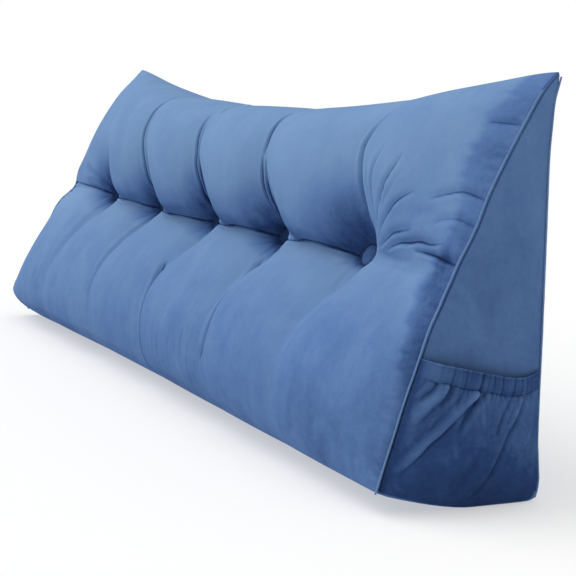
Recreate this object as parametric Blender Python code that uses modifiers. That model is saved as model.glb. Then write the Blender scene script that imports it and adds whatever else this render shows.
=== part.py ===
"""Wedge pillow: a long, triangular back cushion for a bed head, tufted with one row of buttons.

Metres, +Z up. The length runs along X. The front leans back, from -Y at the floor to +Y at the top edge.
"""

import bisect
import math
from typing import NamedTuple

import bmesh
import bpy
from mathutils import Vector

# Driving dimensions
LENGTH = 1.50
CORNER_HEIGHT = 0.502
BUTTON_COUNT = 5
BUTTON_PITCH = 0.25
BUTTON_RADIUS = 0.015
BUTTON_THICKNESS = 0.009
PIPING_RADIUS = 0.0024
CLOTH_THICKNESS = 0.0015
TOUCHING_GAP = 0.0003

# The top edge is drawn in between its corners: (x, z) along it
TOP_EDGE = (
    (-0.75, 0.502), (-0.66, 0.4885), (-0.56, 0.4770), (-0.45, 0.4665), (-0.33, 0.4565), (-0.20, 0.4490), (-0.05, 0.4440),
    (0.10, 0.4420), (0.25, 0.4425), (0.38, 0.4460), (0.50, 0.4560), (0.60, 0.4740), (0.68, 0.4895), (0.75, 0.502),
)
TOP_MIDDLE_HEIGHT = 0.4375

# The soft bottom lifts off the floor towards the front seam, more at the right end.
FRONT_LIFT_LEFT = 0.012
FRONT_LIFT_RIGHT = 0.029
FRONT_LIFT_IN_MIDDLE = 0.031
FRONT_LIFT_POWER = 1.5
FLAT_FRONT_AT_SIDE = 0.010
FLAT_FRONT_IN_MIDDLE = -0.050

# The side panels lean in towards the top corners, and the buttons' row pulls their front seams in a little more.
TOP_INSET = 0.028
INSET_POWER = 2.2
ROW_PINCH = 0.008
PINCH_REACH = 0.030
INSET_FADE_POWER = 5

# The filling has gone to the left: how far the front stands further back there than at the right, as (z, shift)
LEFT_SHIFT = ((0.00, -0.006), (0.05, -0.014), (0.10, -0.020), (0.15, -0.008), (0.20, 0.002), (0.26, 0.012), (0.36, 0.006),
              (0.51, 0.0))

# The row of buttons, the seat that each sinks into, and the direction that it faces
ROW_HEIGHT = 0.262
SEAT_Y = 0.012
SEAT_RADIUS = 0.0205
SEAT_WALL_SLOPE = 4.0
FACE_TILT = math.radians(27.0)
OUTWARD = Vector((0.0, -math.cos(FACE_TILT), math.sin(FACE_TILT)))

# How much the back and the side panels stand out beyond their seams
BACK_CROWN = 0.014
BACK_CROWN_POWER = 8
SIDE_CROWN = 0.004
SIDE_CROWN_FADE = 0.08
LEAST_PANEL_WIDTH = 0.002

# The pocket on the right side panel
HEM_HEIGHT_FRONT = 0.177
HEM_HEIGHT_BACK = 0.155
HEM_DIP = 0.004
CASING_HEIGHT = 0.024
POCKET_MARGIN = 0.0060
MOUTH_GAP = 0.0105
BELLY_DEPTH = 0.015
CASING_RUFFLES = 13
RUFFLE_DEPTH = 0.0015
GATHER_DEPTH = 0.0032


class FaceRow(NamedTuple):
    """One level of the front. Each pair is (y, z): at the side seam, in a button's crease, between two buttons."""

    seam: tuple
    crease: tuple
    puff: tuple
    sharpness: float
    end_power: float
    end_root: float


# From the bottom seam up to the top seam. A sharp crease is narrow. The end values shape how the roll meets the side.
FACE_ROWS = (
    FaceRow((-0.108, 0.020), (-0.107, 0.020), (-0.110, 0.020), 5.0, 5.0, 0.6),
    FaceRow((-0.099, 0.050), (-0.118, 0.050), (-0.129, 0.048), 5.0, 5.0, 0.6),
    FaceRow((-0.087, 0.088), (-0.122, 0.088), (-0.134, 0.088), 5.0, 5.0, 0.6),
    FaceRow((-0.076, 0.124), (-0.117, 0.125), (-0.129, 0.130), 4.5, 5.0, 0.6),
    FaceRow((-0.061, 0.166), (-0.094, 0.165), (-0.109, 0.174), 3.5, 5.0, 0.6),
    FaceRow((-0.046, 0.208), (-0.057, 0.204), (-0.076, 0.214), 2.4, 4.5, 0.7),
    FaceRow((-0.029, 0.238), (-0.020, 0.232), (-0.044, 0.245), 1.9, 4.0, 0.8),
    FaceRow((-0.015, 0.262), (0.009, 0.260), (-0.019, 0.267), 1.6, 4.0, 0.8),
    FaceRow((-0.004, 0.290), (-0.001, 0.288), (-0.031, 0.290), 1.8, 3.5, 0.9),
    FaceRow((0.013, 0.324), (-0.020, 0.322), (-0.045, 0.324), 2.4, 3.0, 1.0),
    FaceRow((0.029, 0.360), (-0.029, 0.360), (-0.047, 0.360), 3.5, 3.0, 1.0),
    FaceRow((0.054, 0.404), (-0.021, 0.398), (-0.037, 0.397), 5.0, 3.0, 1.0),
    FaceRow((0.079, 0.444), (0.003, 0.428), (-0.009, 0.427), 6.0, 3.0, 1.0),
    FaceRow((0.102, 0.478), (0.046, 0.4365), (0.042, 0.4385), 6.0, 3.0, 1.0),
    FaceRow((0.126, 0.502), (0.100, 0.427), (0.100, 0.428), 6.0, 3.0, 1.0),
)

# Levels of the front that hold mesh rows, counted in table rows, closest around the buttons
FACE_LEVELS = (
    0, 0.5, 1, 1.5, 2, 2.5, 3, 3.5, 4, 4.5, 5, 5.5, 6, 6.35, 6.6, 6.8, 7, 7.15, 7.3, 7.5, 7.75, 8,
    8.5, 9, 9.5, 10, 10.5, 11, 11.5, 12, 12.5, 13, 13.5, 14,
)

# The back panel, from the top down: share of the height, and y at the side seam
BACK_ROWS = (
    (0.985, 0.1225), (0.93, 0.1125), (0.80, 0.1050), (0.60, 0.1015), (0.38, 0.1000), (0.16, 0.1015), (0.055, 0.1075),
)

# The rounded back edge of the bottom, then the flat bottom: (y, z)
BACK_EDGE = ((0.1095, 0.014), (0.1070, 0.004), (0.1010, 0.0))
FLAT_BACK_STEPS = (0.45, 0.0)
FRONT_RISE_STEPS = (0.35, 0.68)
FRONT_RISE_POWER = 1.35

# Distances from a button's crease at which the mesh has a column, and those in the end columns
CREASE_STEPS = (0.0, 0.007, 0.016, 0.026, 0.045, 0.080)
END_STEPS = (0.125, 0.170, 0.205, 0.228, 0.242, 0.250)
SIDE_PANEL_RINGS = (0.80, 0.52, 0.24)

FACE_BLUE = (0.125, 0.220, 0.420, 1.0)
SIDE_BLUE = (0.085, 0.150, 0.300, 1.0)
VELVET_ROUGHNESS = 0.85


def clear_scene():
    """Empty the file of its objects."""
    for obj in list(bpy.data.objects):
        bpy.data.objects.remove(obj, do_unlink=True)


def velvet(name, color):
    """A matt cloth material of one colour."""
    material = bpy.data.materials.new(name)
    material.use_nodes = True
    shader = material.node_tree.nodes["Principled BSDF"]
    shader.inputs["Base Color"].default_value = color
    shader.inputs["Roughness"].default_value = VELVET_ROUGHNESS
    shader.inputs["Metallic"].default_value = 0.0
    material.diffuse_color = color
    return material


def add_mesh_object(bm, name, material, collection):
    """Turn a bmesh into a named, smooth object."""
    mesh = bpy.data.meshes.new(name)
    bm.to_mesh(mesh)
    bm.free()
    mesh.shade_smooth()
    mesh.materials.append(material)
    obj = bpy.data.objects.new(name, mesh)
    collection.objects.link(obj)
    return obj


def mix(a, b, share):
    """Value or tuple that lies the given share of the way from a to b."""
    if isinstance(a, tuple):
        return tuple(mix(p, q, share) for p, q in zip(a, b))
    return a + (b - a) * share


def smooth_value(values, position):
    """Read a list of numbers at a fractional index, on a smooth curve through them."""
    index = min(int(position), len(values) - 2)
    t = position - index
    p1, p2 = values[index], values[index + 1]
    p0 = values[index - 1] if index > 0 else 2 * p1 - p2
    p3 = values[index + 2] if index + 2 < len(values) else 2 * p2 - p1
    bend = 2 * p0 - 5 * p1 + 4 * p2 - p3
    twist = 3 * p1 - p0 - 3 * p2 + p3
    return 0.5 * (2 * p1 + (p2 - p0) * t + bend * t * t + twist * t**3)


def read_rows(column, level):
    """(y, z) of one column of FACE_ROWS at a fractional row."""
    pairs = [getattr(row, column) for row in FACE_ROWS]
    return tuple(smooth_value([pair[k] for pair in pairs], level) for k in (0, 1))


def on_curve(table, position):
    """Read a short table of (position, value) pairs on a smooth curve through them."""
    places = [place for place, _ in table]
    index = max(0, min(bisect.bisect_right(places, position) - 1, len(places) - 2))
    share = (position - places[index]) / (places[index + 1] - places[index])
    return smooth_value([value for _, value in table], index + min(1.0, max(0.0, share)))


def top_height(x):
    """Height of the drawn-in top edge."""
    return on_curve(TOP_EDGE, x)


def inset_at(z):
    """How far the side panels lean in at a height."""
    return TOP_INSET * (max(0.0, z) / CORNER_HEIGHT) ** INSET_POWER


def drawn_in(point, in_front):
    """Move a point of the cover towards the middle of the length, as the leaning side panels do."""
    inset = inset_at(point.z)
    if in_front:
        inset += ROW_PINCH * math.exp(-(((point.z - ROW_HEIGHT) / PINCH_REACH) ** 2))
    share = min(1.0, abs(point.x) * 2 / LENGTH) ** INSET_FADE_POWER
    return point - Vector((math.copysign(inset * share, point.x), 0.0, 0.0))


def shifted_left_end(point):
    """Move a point of the front forward or back in the left half."""
    leftward = max(0.0, -point.x * 2 / LENGTH)
    return point + Vector((0.0, leftward * on_curve(LEFT_SHIFT, point.z), 0.0))


def front_lift(x):
    """Height of the bottom seam above the floor."""
    outward_share = min(1.0, abs(x) * 2 / LENGTH)
    end_lift = FRONT_LIFT_LEFT if x < 0 else FRONT_LIFT_RIGHT
    return mix(FRONT_LIFT_IN_MIDDLE, end_lift, outward_share**FRONT_LIFT_POWER)


def stretched(point, top, bottom):
    """Move a point of the table up or down with the top edge and the bottom seam at this place."""
    y, z = point
    if z > ROW_HEIGHT:
        return (y, ROW_HEIGHT + (z - ROW_HEIGHT) * (top - ROW_HEIGHT) / (TOP_MIDDLE_HEIGHT - ROW_HEIGHT))
    seam_height = FACE_ROWS[0].seam[1]
    return (y, ROW_HEIGHT - (ROW_HEIGHT - z) * (ROW_HEIGHT - bottom) / (ROW_HEIGHT - seam_height))


def button_places():
    """X of each button."""
    middle = (BUTTON_COUNT - 1) / 2
    return [(index - middle) * BUTTON_PITCH for index in range(BUTTON_COUNT)]


def button_seat(x):
    """The point at the bottom of a tuft."""
    return Vector((x, SEAT_Y, ROW_HEIGHT))


def press_seats(point):
    """Hold the cloth down round a button, so that the button has a level seat in its tuft."""
    for x in button_places():
        seat = button_seat(x)
        rise = (point - seat).dot(OUTWARD)
        away = (point - seat - OUTWARD * rise).length
        allowed = max(0.0, away - SEAT_RADIUS) * SEAT_WALL_SLOPE
        if rise > allowed and away < BUTTON_PITCH / 4:
            point = point - OUTWARD * (rise - allowed)
    return point


def face_point(x, level):
    """A point of the front, at a length position and a fractional table row."""
    seam = stretched_seam(x, level)
    nearest = min(abs(x - place) for place in button_places())
    half_pitch = BUTTON_PITCH / 2
    sharpness = smooth_value([row.sharpness for row in FACE_ROWS], level)
    in_crease = max(0.0, 1.0 - nearest / half_pitch) ** sharpness
    inner = mix(read_rows("puff", level), read_rows("crease", level), in_crease)
    inner = stretched(inner, top_height(x), front_lift(x))
    power = smooth_value([row.end_power for row in FACE_ROWS], level)
    root = smooth_value([row.end_root for row in FACE_ROWS], level)
    outward_share = min(1.0, abs(x) * 2 / LENGTH)
    fullness = (1.0 - outward_share**power) ** root
    y, z = mix(seam, inner, fullness)
    return press_seats(drawn_in(shifted_left_end(Vector((x, y, z))), in_front=True))


def stretched_seam(x, level):
    """The side seam's line, with its foot at the height of the bottom seam."""
    y, z = read_rows("seam", level)
    if z < ROW_HEIGHT:
        return stretched((y, z), TOP_MIDDLE_HEIGHT, front_lift(x))
    return (y, z)


def section(x):
    """All points round the pillow at one length position: up the front, down the back, along the bottom."""
    points = [face_point(x, level) for level in FACE_LEVELS]
    seam_y, seam_z = points[0].y, points[0].z
    crest = points[-1].z
    middle_share = 1.0 - min(1.0, abs(x) * 2 / LENGTH) ** 4
    crown_share = math.sqrt(1.0 - min(1.0, abs(x) * 2 / LENGTH) ** BACK_CROWN_POWER)
    for share, side_y in BACK_ROWS:
        crown = BACK_CROWN * crown_share * math.sin(math.pi * share) ** 0.5
        points.append(drawn_in(Vector((x, side_y + crown, crest * share)), in_front=False))
    points += [Vector((x, y, z)) for y, z in BACK_EDGE]
    flat_front = mix(FLAT_FRONT_AT_SIDE, FLAT_FRONT_IN_MIDDLE, middle_share)
    for share in FLAT_BACK_STEPS:
        points.append(Vector((x, mix(flat_front, BACK_EDGE[-1][0], share), 0.0)))
    for share in FRONT_RISE_STEPS:
        points.append(Vector((x, mix(flat_front, seam_y, share), seam_z * share**FRONT_RISE_POWER)))
    return points


def length_stations():
    """X of each mesh column, closest round the creases."""
    stations = {x + side * step for x in button_places() for step in CREASE_STEPS for side in (-1, 1)}
    stations |= {x + BUTTON_PITCH / 2 for x in button_places()[:-1]}
    last = button_places()[-1]
    stations |= {side * (last + step) for step in END_STEPS for side in (-1, 1)}
    return sorted({round(x, 6) for x in stations})


def seam_y_at(height):
    """Y of the right front seam at a height."""
    previous = None
    for level in [step / 4 for step in range(4 * (len(FACE_ROWS) - 1) + 1)]:
        y, z = stretched_seam(LENGTH / 2, level)
        if z >= height:
            return y if previous is None else mix(previous[0], y, (height - previous[1]) / (z - previous[1]))
        previous = (y, z)
    return previous[0]


def back_y_at(height):
    """Y of the right back seam at a height."""
    rows = [(CORNER_HEIGHT, FACE_ROWS[-1].seam[0])] + [(CORNER_HEIGHT * share, y) for share, y in BACK_ROWS]
    for (upper, upper_y), (lower, lower_y) in zip(rows, rows[1:]):
        if height >= lower:
            return mix(lower_y, upper_y, (height - lower) / (upper - lower))
    return rows[-1][1]


def side_panel_x(y, z):
    """Distance of the right side panel from the middle, with the little that its filling pushes it out."""
    front, back = seam_y_at(z), back_y_at(z)
    across = min(1.0, max(0.0, (y - front) / max(back - front, LEAST_PANEL_WIDTH)))
    room = min(1.0, max(0.0, back - front) / SIDE_CROWN_FADE) * min(1.0, z / SIDE_CROWN_FADE)
    return LENGTH / 2 - inset_at(z) + SIDE_CROWN * math.sin(math.pi * across) * math.sin(math.pi / 2 * room)


def close_side(bm, side):
    """Fill one end with a side panel."""
    edges = [edge for edge in bm.edges if edge.is_boundary and edge.verts[0].co.x * side > 0]
    rim = {vert for edge in edges for vert in edge.verts}
    centre = sum((vert.co for vert in rim), Vector()) / len(rim)
    previous = 1.0
    for ring in SIDE_PANEL_RINGS:
        made = bmesh.ops.extrude_edge_only(bm, edges=edges)["geom"]
        edges = [item for item in made if isinstance(item, bmesh.types.BMEdge)]
        for vert in (item for item in made if isinstance(item, bmesh.types.BMVert)):
            vert.co = centre + (vert.co - centre) * (ring / previous)
            vert.co.x = side * side_panel_x(vert.co.y, vert.co.z)
        previous = ring
    bmesh.ops.contextual_create(bm, geom=edges)


def build_cushion(collection):
    """The filled wedge: a grid wrapped round the section, with a side panel at each end."""
    stations = length_stations()
    rings = [section(x) for x in stations]
    around = len(rings[0])
    bm = bmesh.new()
    bmesh.ops.create_grid(bm, x_segments=len(stations) - 1, y_segments=around, size=1.0)
    for vert in bm.verts:
        column = round((vert.co.x + 1) / 2 * (len(stations) - 1))
        row = round((vert.co.y + 1) / 2 * around)
        vert.co = rings[column][row % around]
    bmesh.ops.remove_doubles(bm, verts=bm.verts, dist=1e-6)
    for side in (-1, 1):
        close_side(bm, side)
    bmesh.ops.recalc_face_normals(bm, faces=bm.faces)
    return add_mesh_object(bm, "cushion", velvet("cushion_velvet", FACE_BLUE), collection)


def build_buttons(collection):
    """Cloth-covered buttons, each a low dome on the seat of its tuft."""
    facing = OUTWARD.to_track_quat("Z", "Y")
    for index, x in enumerate(button_places()):
        bm = bmesh.new()
        bmesh.ops.create_uvsphere(bm, u_segments=16, v_segments=8, radius=BUTTON_RADIUS)
        for vert in bm.verts:
            vert.co.z *= BUTTON_THICKNESS / 2 / BUTTON_RADIUS
        obj = add_mesh_object(bm, f"button_{index + 1}", velvet(f"button_{index + 1}_velvet", FACE_BLUE), collection)
        obj.location = button_seat(x) + OUTWARD * (BUTTON_THICKNESS / 2 + TOUCHING_GAP)
        obj.rotation_mode = "QUATERNION"
        obj.rotation_quaternion = facing


def pocket_foot(y):
    """Height of the pocket's bottom edge, just above the curve of the bottom seam."""
    share = max(0.0, (FLAT_FRONT_AT_SIDE - y) / (FLAT_FRONT_AT_SIDE - FACE_ROWS[0].seam[0]))
    return TOUCHING_GAP * 10 + front_lift(LENGTH / 2) * share**FRONT_RISE_POWER


def pocket_point(across, up):
    """A point on the inner side of the pocket's cloth: across from front to back, and up from foot to hem."""
    hem = mix(HEM_HEIGHT_FRONT, HEM_HEIGHT_BACK, across) - HEM_DIP * math.sin(math.pi * across)
    guess = mix(seam_y_at(hem * up), back_y_at(hem * up), across)
    z = mix(pocket_foot(guess), hem, up)
    y = mix(seam_y_at(z) + POCKET_MARGIN, back_y_at(z) - POCKET_MARGIN, across)
    casing_start = 1.0 - CASING_HEIGHT / hem
    hold = math.sin(math.pi * across) ** 0.7
    belly = math.sin(math.pi * min(1.0, up / casing_start) ** 0.85)
    stand = hold * (MOUTH_GAP * min(1.0, up * 2.0) + BELLY_DEPTH * belly)
    if up > casing_start:
        wave = RUFFLE_DEPTH * math.sin(2 * math.pi * CASING_RUFFLES * across)
    else:
        below = 1.0 - up / casing_start
        lean = mix(0.55, 0.12, across)
        fold = across + below * lean
        wave = GATHER_DEPTH * (1.0 - below) * math.sin(2 * math.pi * CASING_RUFFLES * 0.5 * fold)
    stand += wave * hold * min(1.0, up * 6)
    return Vector((side_panel_x(y, z) + TOUCHING_GAP + max(0.0, stand), y, z))


def build_pocket(collection):
    """The gathered side pocket: one sheet, sewn down on three edges and drawn up by its elastic casing."""
    columns = CASING_RUFFLES * 4
    levels = (0.0, 0.05, 0.13, 0.23, 0.34, 0.46, 0.58, 0.69, 0.78, 0.84, 0.868, 0.90, 0.95, 1.0)
    bm = bmesh.new()
    bmesh.ops.create_grid(bm, x_segments=columns, y_segments=len(levels) - 1, size=1.0)
    for vert in bm.verts:
        across = (vert.co.x + 1) / 2
        up = levels[round((vert.co.y + 1) / 2 * (len(levels) - 1))]
        vert.co = pocket_point(across, up)
    obj = add_mesh_object(bm, "side_pocket", velvet("side_pocket_velvet", SIDE_BLUE), collection)
    wall = obj.modifiers.new("cloth", "SOLIDIFY")
    wall.thickness = CLOTH_THICKNESS
    wall.offset = 1.0
    return obj


def add_piping(name, points, collection):
    """A narrow covered cord through the given points."""
    curve = bpy.data.curves.new(name, "CURVE")
    curve.dimensions = "3D"
    curve.bevel_depth = PIPING_RADIUS
    curve.bevel_resolution = 2
    curve.use_fill_caps = True
    spline = curve.splines.new("POLY")
    spline.points.add(len(points) - 1)
    for target, point in zip(spline.points, points):
        target.co = (*point, 1.0)
    curve.materials.append(velvet(f"{name}_velvet", SIDE_BLUE))
    obj = bpy.data.objects.new(name, curve)
    collection.objects.link(obj)
    return obj


def build_piping(collection):
    """Cords in the front and back seams of both side panels, each just outside its corner of the cushion."""
    reach = PIPING_RADIUS + TOUCHING_GAP * 2
    for side, word in ((1, "right"), (-1, "left")):
        end = section(side * LENGTH / 2)
        outside_front = Vector((side, -0.9, 0.2)).normalized() * reach
        add_piping(f"piping_front_{word}", [point + outside_front for point in end[: len(FACE_LEVELS) - 1]], collection)
        back_rows = end[len(FACE_LEVELS) : len(FACE_LEVELS) + len(BACK_ROWS) + 1]
        outside_back = Vector((side, 0.45, 0.0)).normalized() * reach
        add_piping(f"piping_back_{word}", [point + outside_back for point in back_rows], collection)


def stand_at_origin(collection):
    """Bring the middle of the bottom of the whole piece to the origin."""
    bpy.context.view_layer.update()
    graph = bpy.context.evaluated_depsgraph_get()
    corners = []
    for obj in collection.objects:
        shown = obj.evaluated_get(graph)
        corners += [shown.matrix_world @ vert.co for vert in shown.to_mesh().vertices]
        shown.to_mesh_clear()
    low = Vector([min(corner[axis] for corner in corners) for axis in range(3)])
    high = Vector([max(corner[axis] for corner in corners) for axis in range(3)])
    middle = Vector(((low.x + high.x) / 2, (low.y + high.y) / 2, low.z))
    for obj in collection.objects:
        obj.location -= middle


def main():
    """Build every piece of the pillow."""
    clear_scene()
    collection = bpy.data.collections.new("wedge_pillow")
    bpy.context.scene.collection.children.link(collection)
    build_cushion(collection)
    build_buttons(collection)
    build_pocket(collection)
    build_piping(collection)
    stand_at_origin(collection)


main()
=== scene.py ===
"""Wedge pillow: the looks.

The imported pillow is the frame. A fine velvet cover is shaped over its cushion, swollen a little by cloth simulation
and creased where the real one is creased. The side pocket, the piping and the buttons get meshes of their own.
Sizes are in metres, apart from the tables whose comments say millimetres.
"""

import logging
import math
from dataclasses import dataclass, field
from enum import Enum
from typing import ClassVar, NamedTuple

import bmesh
import bpy
import numpy as np
from mathutils import Matrix, Vector


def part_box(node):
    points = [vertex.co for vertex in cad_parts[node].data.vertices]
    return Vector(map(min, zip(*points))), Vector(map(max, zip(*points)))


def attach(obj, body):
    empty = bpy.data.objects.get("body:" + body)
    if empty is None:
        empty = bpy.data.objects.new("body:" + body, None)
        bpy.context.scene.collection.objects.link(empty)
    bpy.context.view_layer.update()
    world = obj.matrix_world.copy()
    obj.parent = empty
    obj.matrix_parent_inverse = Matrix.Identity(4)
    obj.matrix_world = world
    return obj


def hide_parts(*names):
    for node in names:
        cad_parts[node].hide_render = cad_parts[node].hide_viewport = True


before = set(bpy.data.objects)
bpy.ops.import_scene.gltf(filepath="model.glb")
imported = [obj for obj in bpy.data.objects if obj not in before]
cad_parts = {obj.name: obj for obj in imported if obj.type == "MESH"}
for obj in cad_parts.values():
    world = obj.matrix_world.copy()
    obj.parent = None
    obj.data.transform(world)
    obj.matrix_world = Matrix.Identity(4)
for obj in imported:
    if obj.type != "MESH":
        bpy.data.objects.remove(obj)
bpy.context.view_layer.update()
LOG = logging.getLogger("wedge_pillow")
Array = np.ndarray
Pairs = tuple[tuple[float, float], ...]


class Side(Enum):
    """The two ends of the pillow, with the sign of X that each lies at."""

    LEFT = -1
    RIGHT = 1


class Seam(Enum):
    """The two seams of a side panel that carry piping."""

    FRONT = "front"
    BACK = "back"


def metres(table: tuple) -> Array:
    """A table of millimetres in metres."""
    return np.array(table) / 1000.0


# The front from its bottom seam up to its top seam, the same rows that the solid is made from. Each has (y, z) in
# millimetres at the side seam, in a button's crease and between two buttons, then the sharpness of the creases and the
# power and root that round off the ends
FACE_ROWS = (
    ((-108, 20), (-107, 20), (-110, 20), 5.0, 5.0, 0.6),
    ((-99, 50), (-118, 50), (-129, 48), 5.0, 5.0, 0.6),
    ((-87, 88), (-122, 88), (-134, 88), 5.0, 5.0, 0.6),
    ((-76, 124), (-117, 125), (-129, 130), 4.5, 5.0, 0.6),
    ((-61, 166), (-94, 165), (-109, 174), 3.5, 5.0, 0.6),
    ((-46, 208), (-57, 204), (-76, 214), 2.4, 4.5, 0.7),
    ((-29, 238), (-20, 232), (-44, 245), 1.9, 4.0, 0.8),
    ((-15, 262), (9, 260), (-19, 267), 1.6, 4.0, 0.8),
    ((-4, 290), (-1, 288), (-31, 290), 1.8, 3.5, 0.9),
    ((13, 324), (-20, 322), (-45, 324), 2.4, 3.0, 1.0),
    ((29, 360), (-29, 360), (-47, 360), 3.5, 3.0, 1.0),
    ((54, 404), (-21, 398), (-37, 397), 5.0, 3.0, 1.0),
    ((79, 444), (3, 428), (-9, 427), 6.0, 3.0, 1.0),
    ((102, 478), (46, 436.5), (42, 438.5), 6.0, 3.0, 1.0),
    ((126, 502), (100, 427), (100, 428), 6.0, 3.0, 1.0),
)
SEAM, CREASE, PUFF = (metres(column) for column in list(zip(*FACE_ROWS))[:3])
SHARPNESS, END_POWER, END_ROOT = list(zip(*FACE_ROWS))[3:]
LAST_ROW = len(FACE_ROWS) - 1.0
BUTTON_LEVEL = 7.0
OFF_FRONT = 9.0  # the "up" of points that are not on the front

# The top edge, as (x, z) in millimetres
TOP_EDGE = metres((
    (-750, 502), (-660, 488.5), (-560, 477), (-450, 466.5), (-330, 456.5), (-200, 449), (-50, 444), (100, 442),
    (250, 442.5), (380, 446), (500, 456), (600, 474), (680, 489.5), (750, 502),
))

# How far the front stands further back at the left end than at the right, as (z, shift) in millimetres
LEFT_SHIFT = metres((
    (5, 22), (20, 4), (35, -16), (55, -30), (80, -26), (105, -20), (150, -10), (200, -4), (235, -3), (262, 8), (300, 4),
    (360, 4), (430, 12), (470, 8), (510, 0),
))

# How far the row's crease sags between the buttons, as (x, drop) in millimetres
ROW_SAG = metres((
    (-750, 0), (-500, 0), (-460, 4), (-380, 7), (-290, 6), (-250, 1), (-215, 7), (-130, 11), (-40, 7), (0, 1), (40, 3),
    (120, 4), (210, 2), (250, 0), (750, 0),
))

# The back panel from the foot up, as (share of the height, y at the side seam), and the edge below it, as (y, z)
BACK_ROWS = (
    (0.055, 0.1085), (0.16, 0.1040), (0.38, 0.1045), (0.60, 0.1065), (0.80, 0.1100), (0.93, 0.1180), (0.985, 0.1275),
)
BACK_EDGE = ((0.1105, 0.014), (0.1075, 0.004), (0.1010, 0.0))


def unit(values: Array) -> Array:
    """Keep values from 0 to 1."""
    return np.clip(values, 0.0, 1.0)


def bell(values: Array, width: "Array | float", power: float = 2.0) -> Array:
    """1 at 0, falling off to both sides within a few widths."""
    return np.exp(-((values / width) ** power))


def smooth_read(values: Array, position: Array) -> Array:
    """Read numbers, or rows of numbers, at fractional indices, on a smooth curve through them.

    Args:
        values: the numbers or rows, at indices 0, 1, 2 and so on.
        position: where to read, of any shape.

    Returns:
        The values there, in the shape of position, and with a last axis for rows.
    """
    values = np.asarray(values, float)
    padded = np.concatenate([2 * values[:1] - values[1:2], values, 2 * values[-1:] - values[-2:-1]])
    index = np.clip(np.floor(position).astype(int), 0, len(values) - 2)
    t = (position - index).reshape(index.shape + (1,) * (values.ndim - 1))
    p0, p1, p2, p3 = (padded[index + step] for step in range(4))
    bend = 2 * p0 - 5 * p1 + 4 * p2 - p3
    return 0.5 * (2 * p1 + (p2 - p0) * t + bend * t * t + (3 * p1 - p0 - 3 * p2 + p3) * t**3)


def on_curve(table: "Array | Pairs", position: Array) -> Array:
    """Read a short table of (position, value) pairs, in rising order, on a smooth curve through them."""
    places, values = np.transpose(table)
    return smooth_read(values, np.interp(position, places, np.arange(len(places))))


def spaced(low: float, high: float, count: int, crowd: list[tuple[float, float, float]]) -> Array:
    """Positions from low to high that lie closer together round some places.

    Args:
        low: the first position.
        high: the last position.
        count: how many positions.
        crowd: (place, reach, strength) of each place to crowd round.

    Returns:
        The positions, in rising order.
    """
    fine = np.linspace(low, high, 4001)
    density = 1.0 + sum(strength * bell(fine - place, reach) for place, reach, strength in crowd)
    total = np.concatenate([[0.0], np.cumsum((density[1:] + density[:-1]) / 2)])
    return np.interp(np.linspace(0.0, total[-1], count), total, fine)


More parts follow.
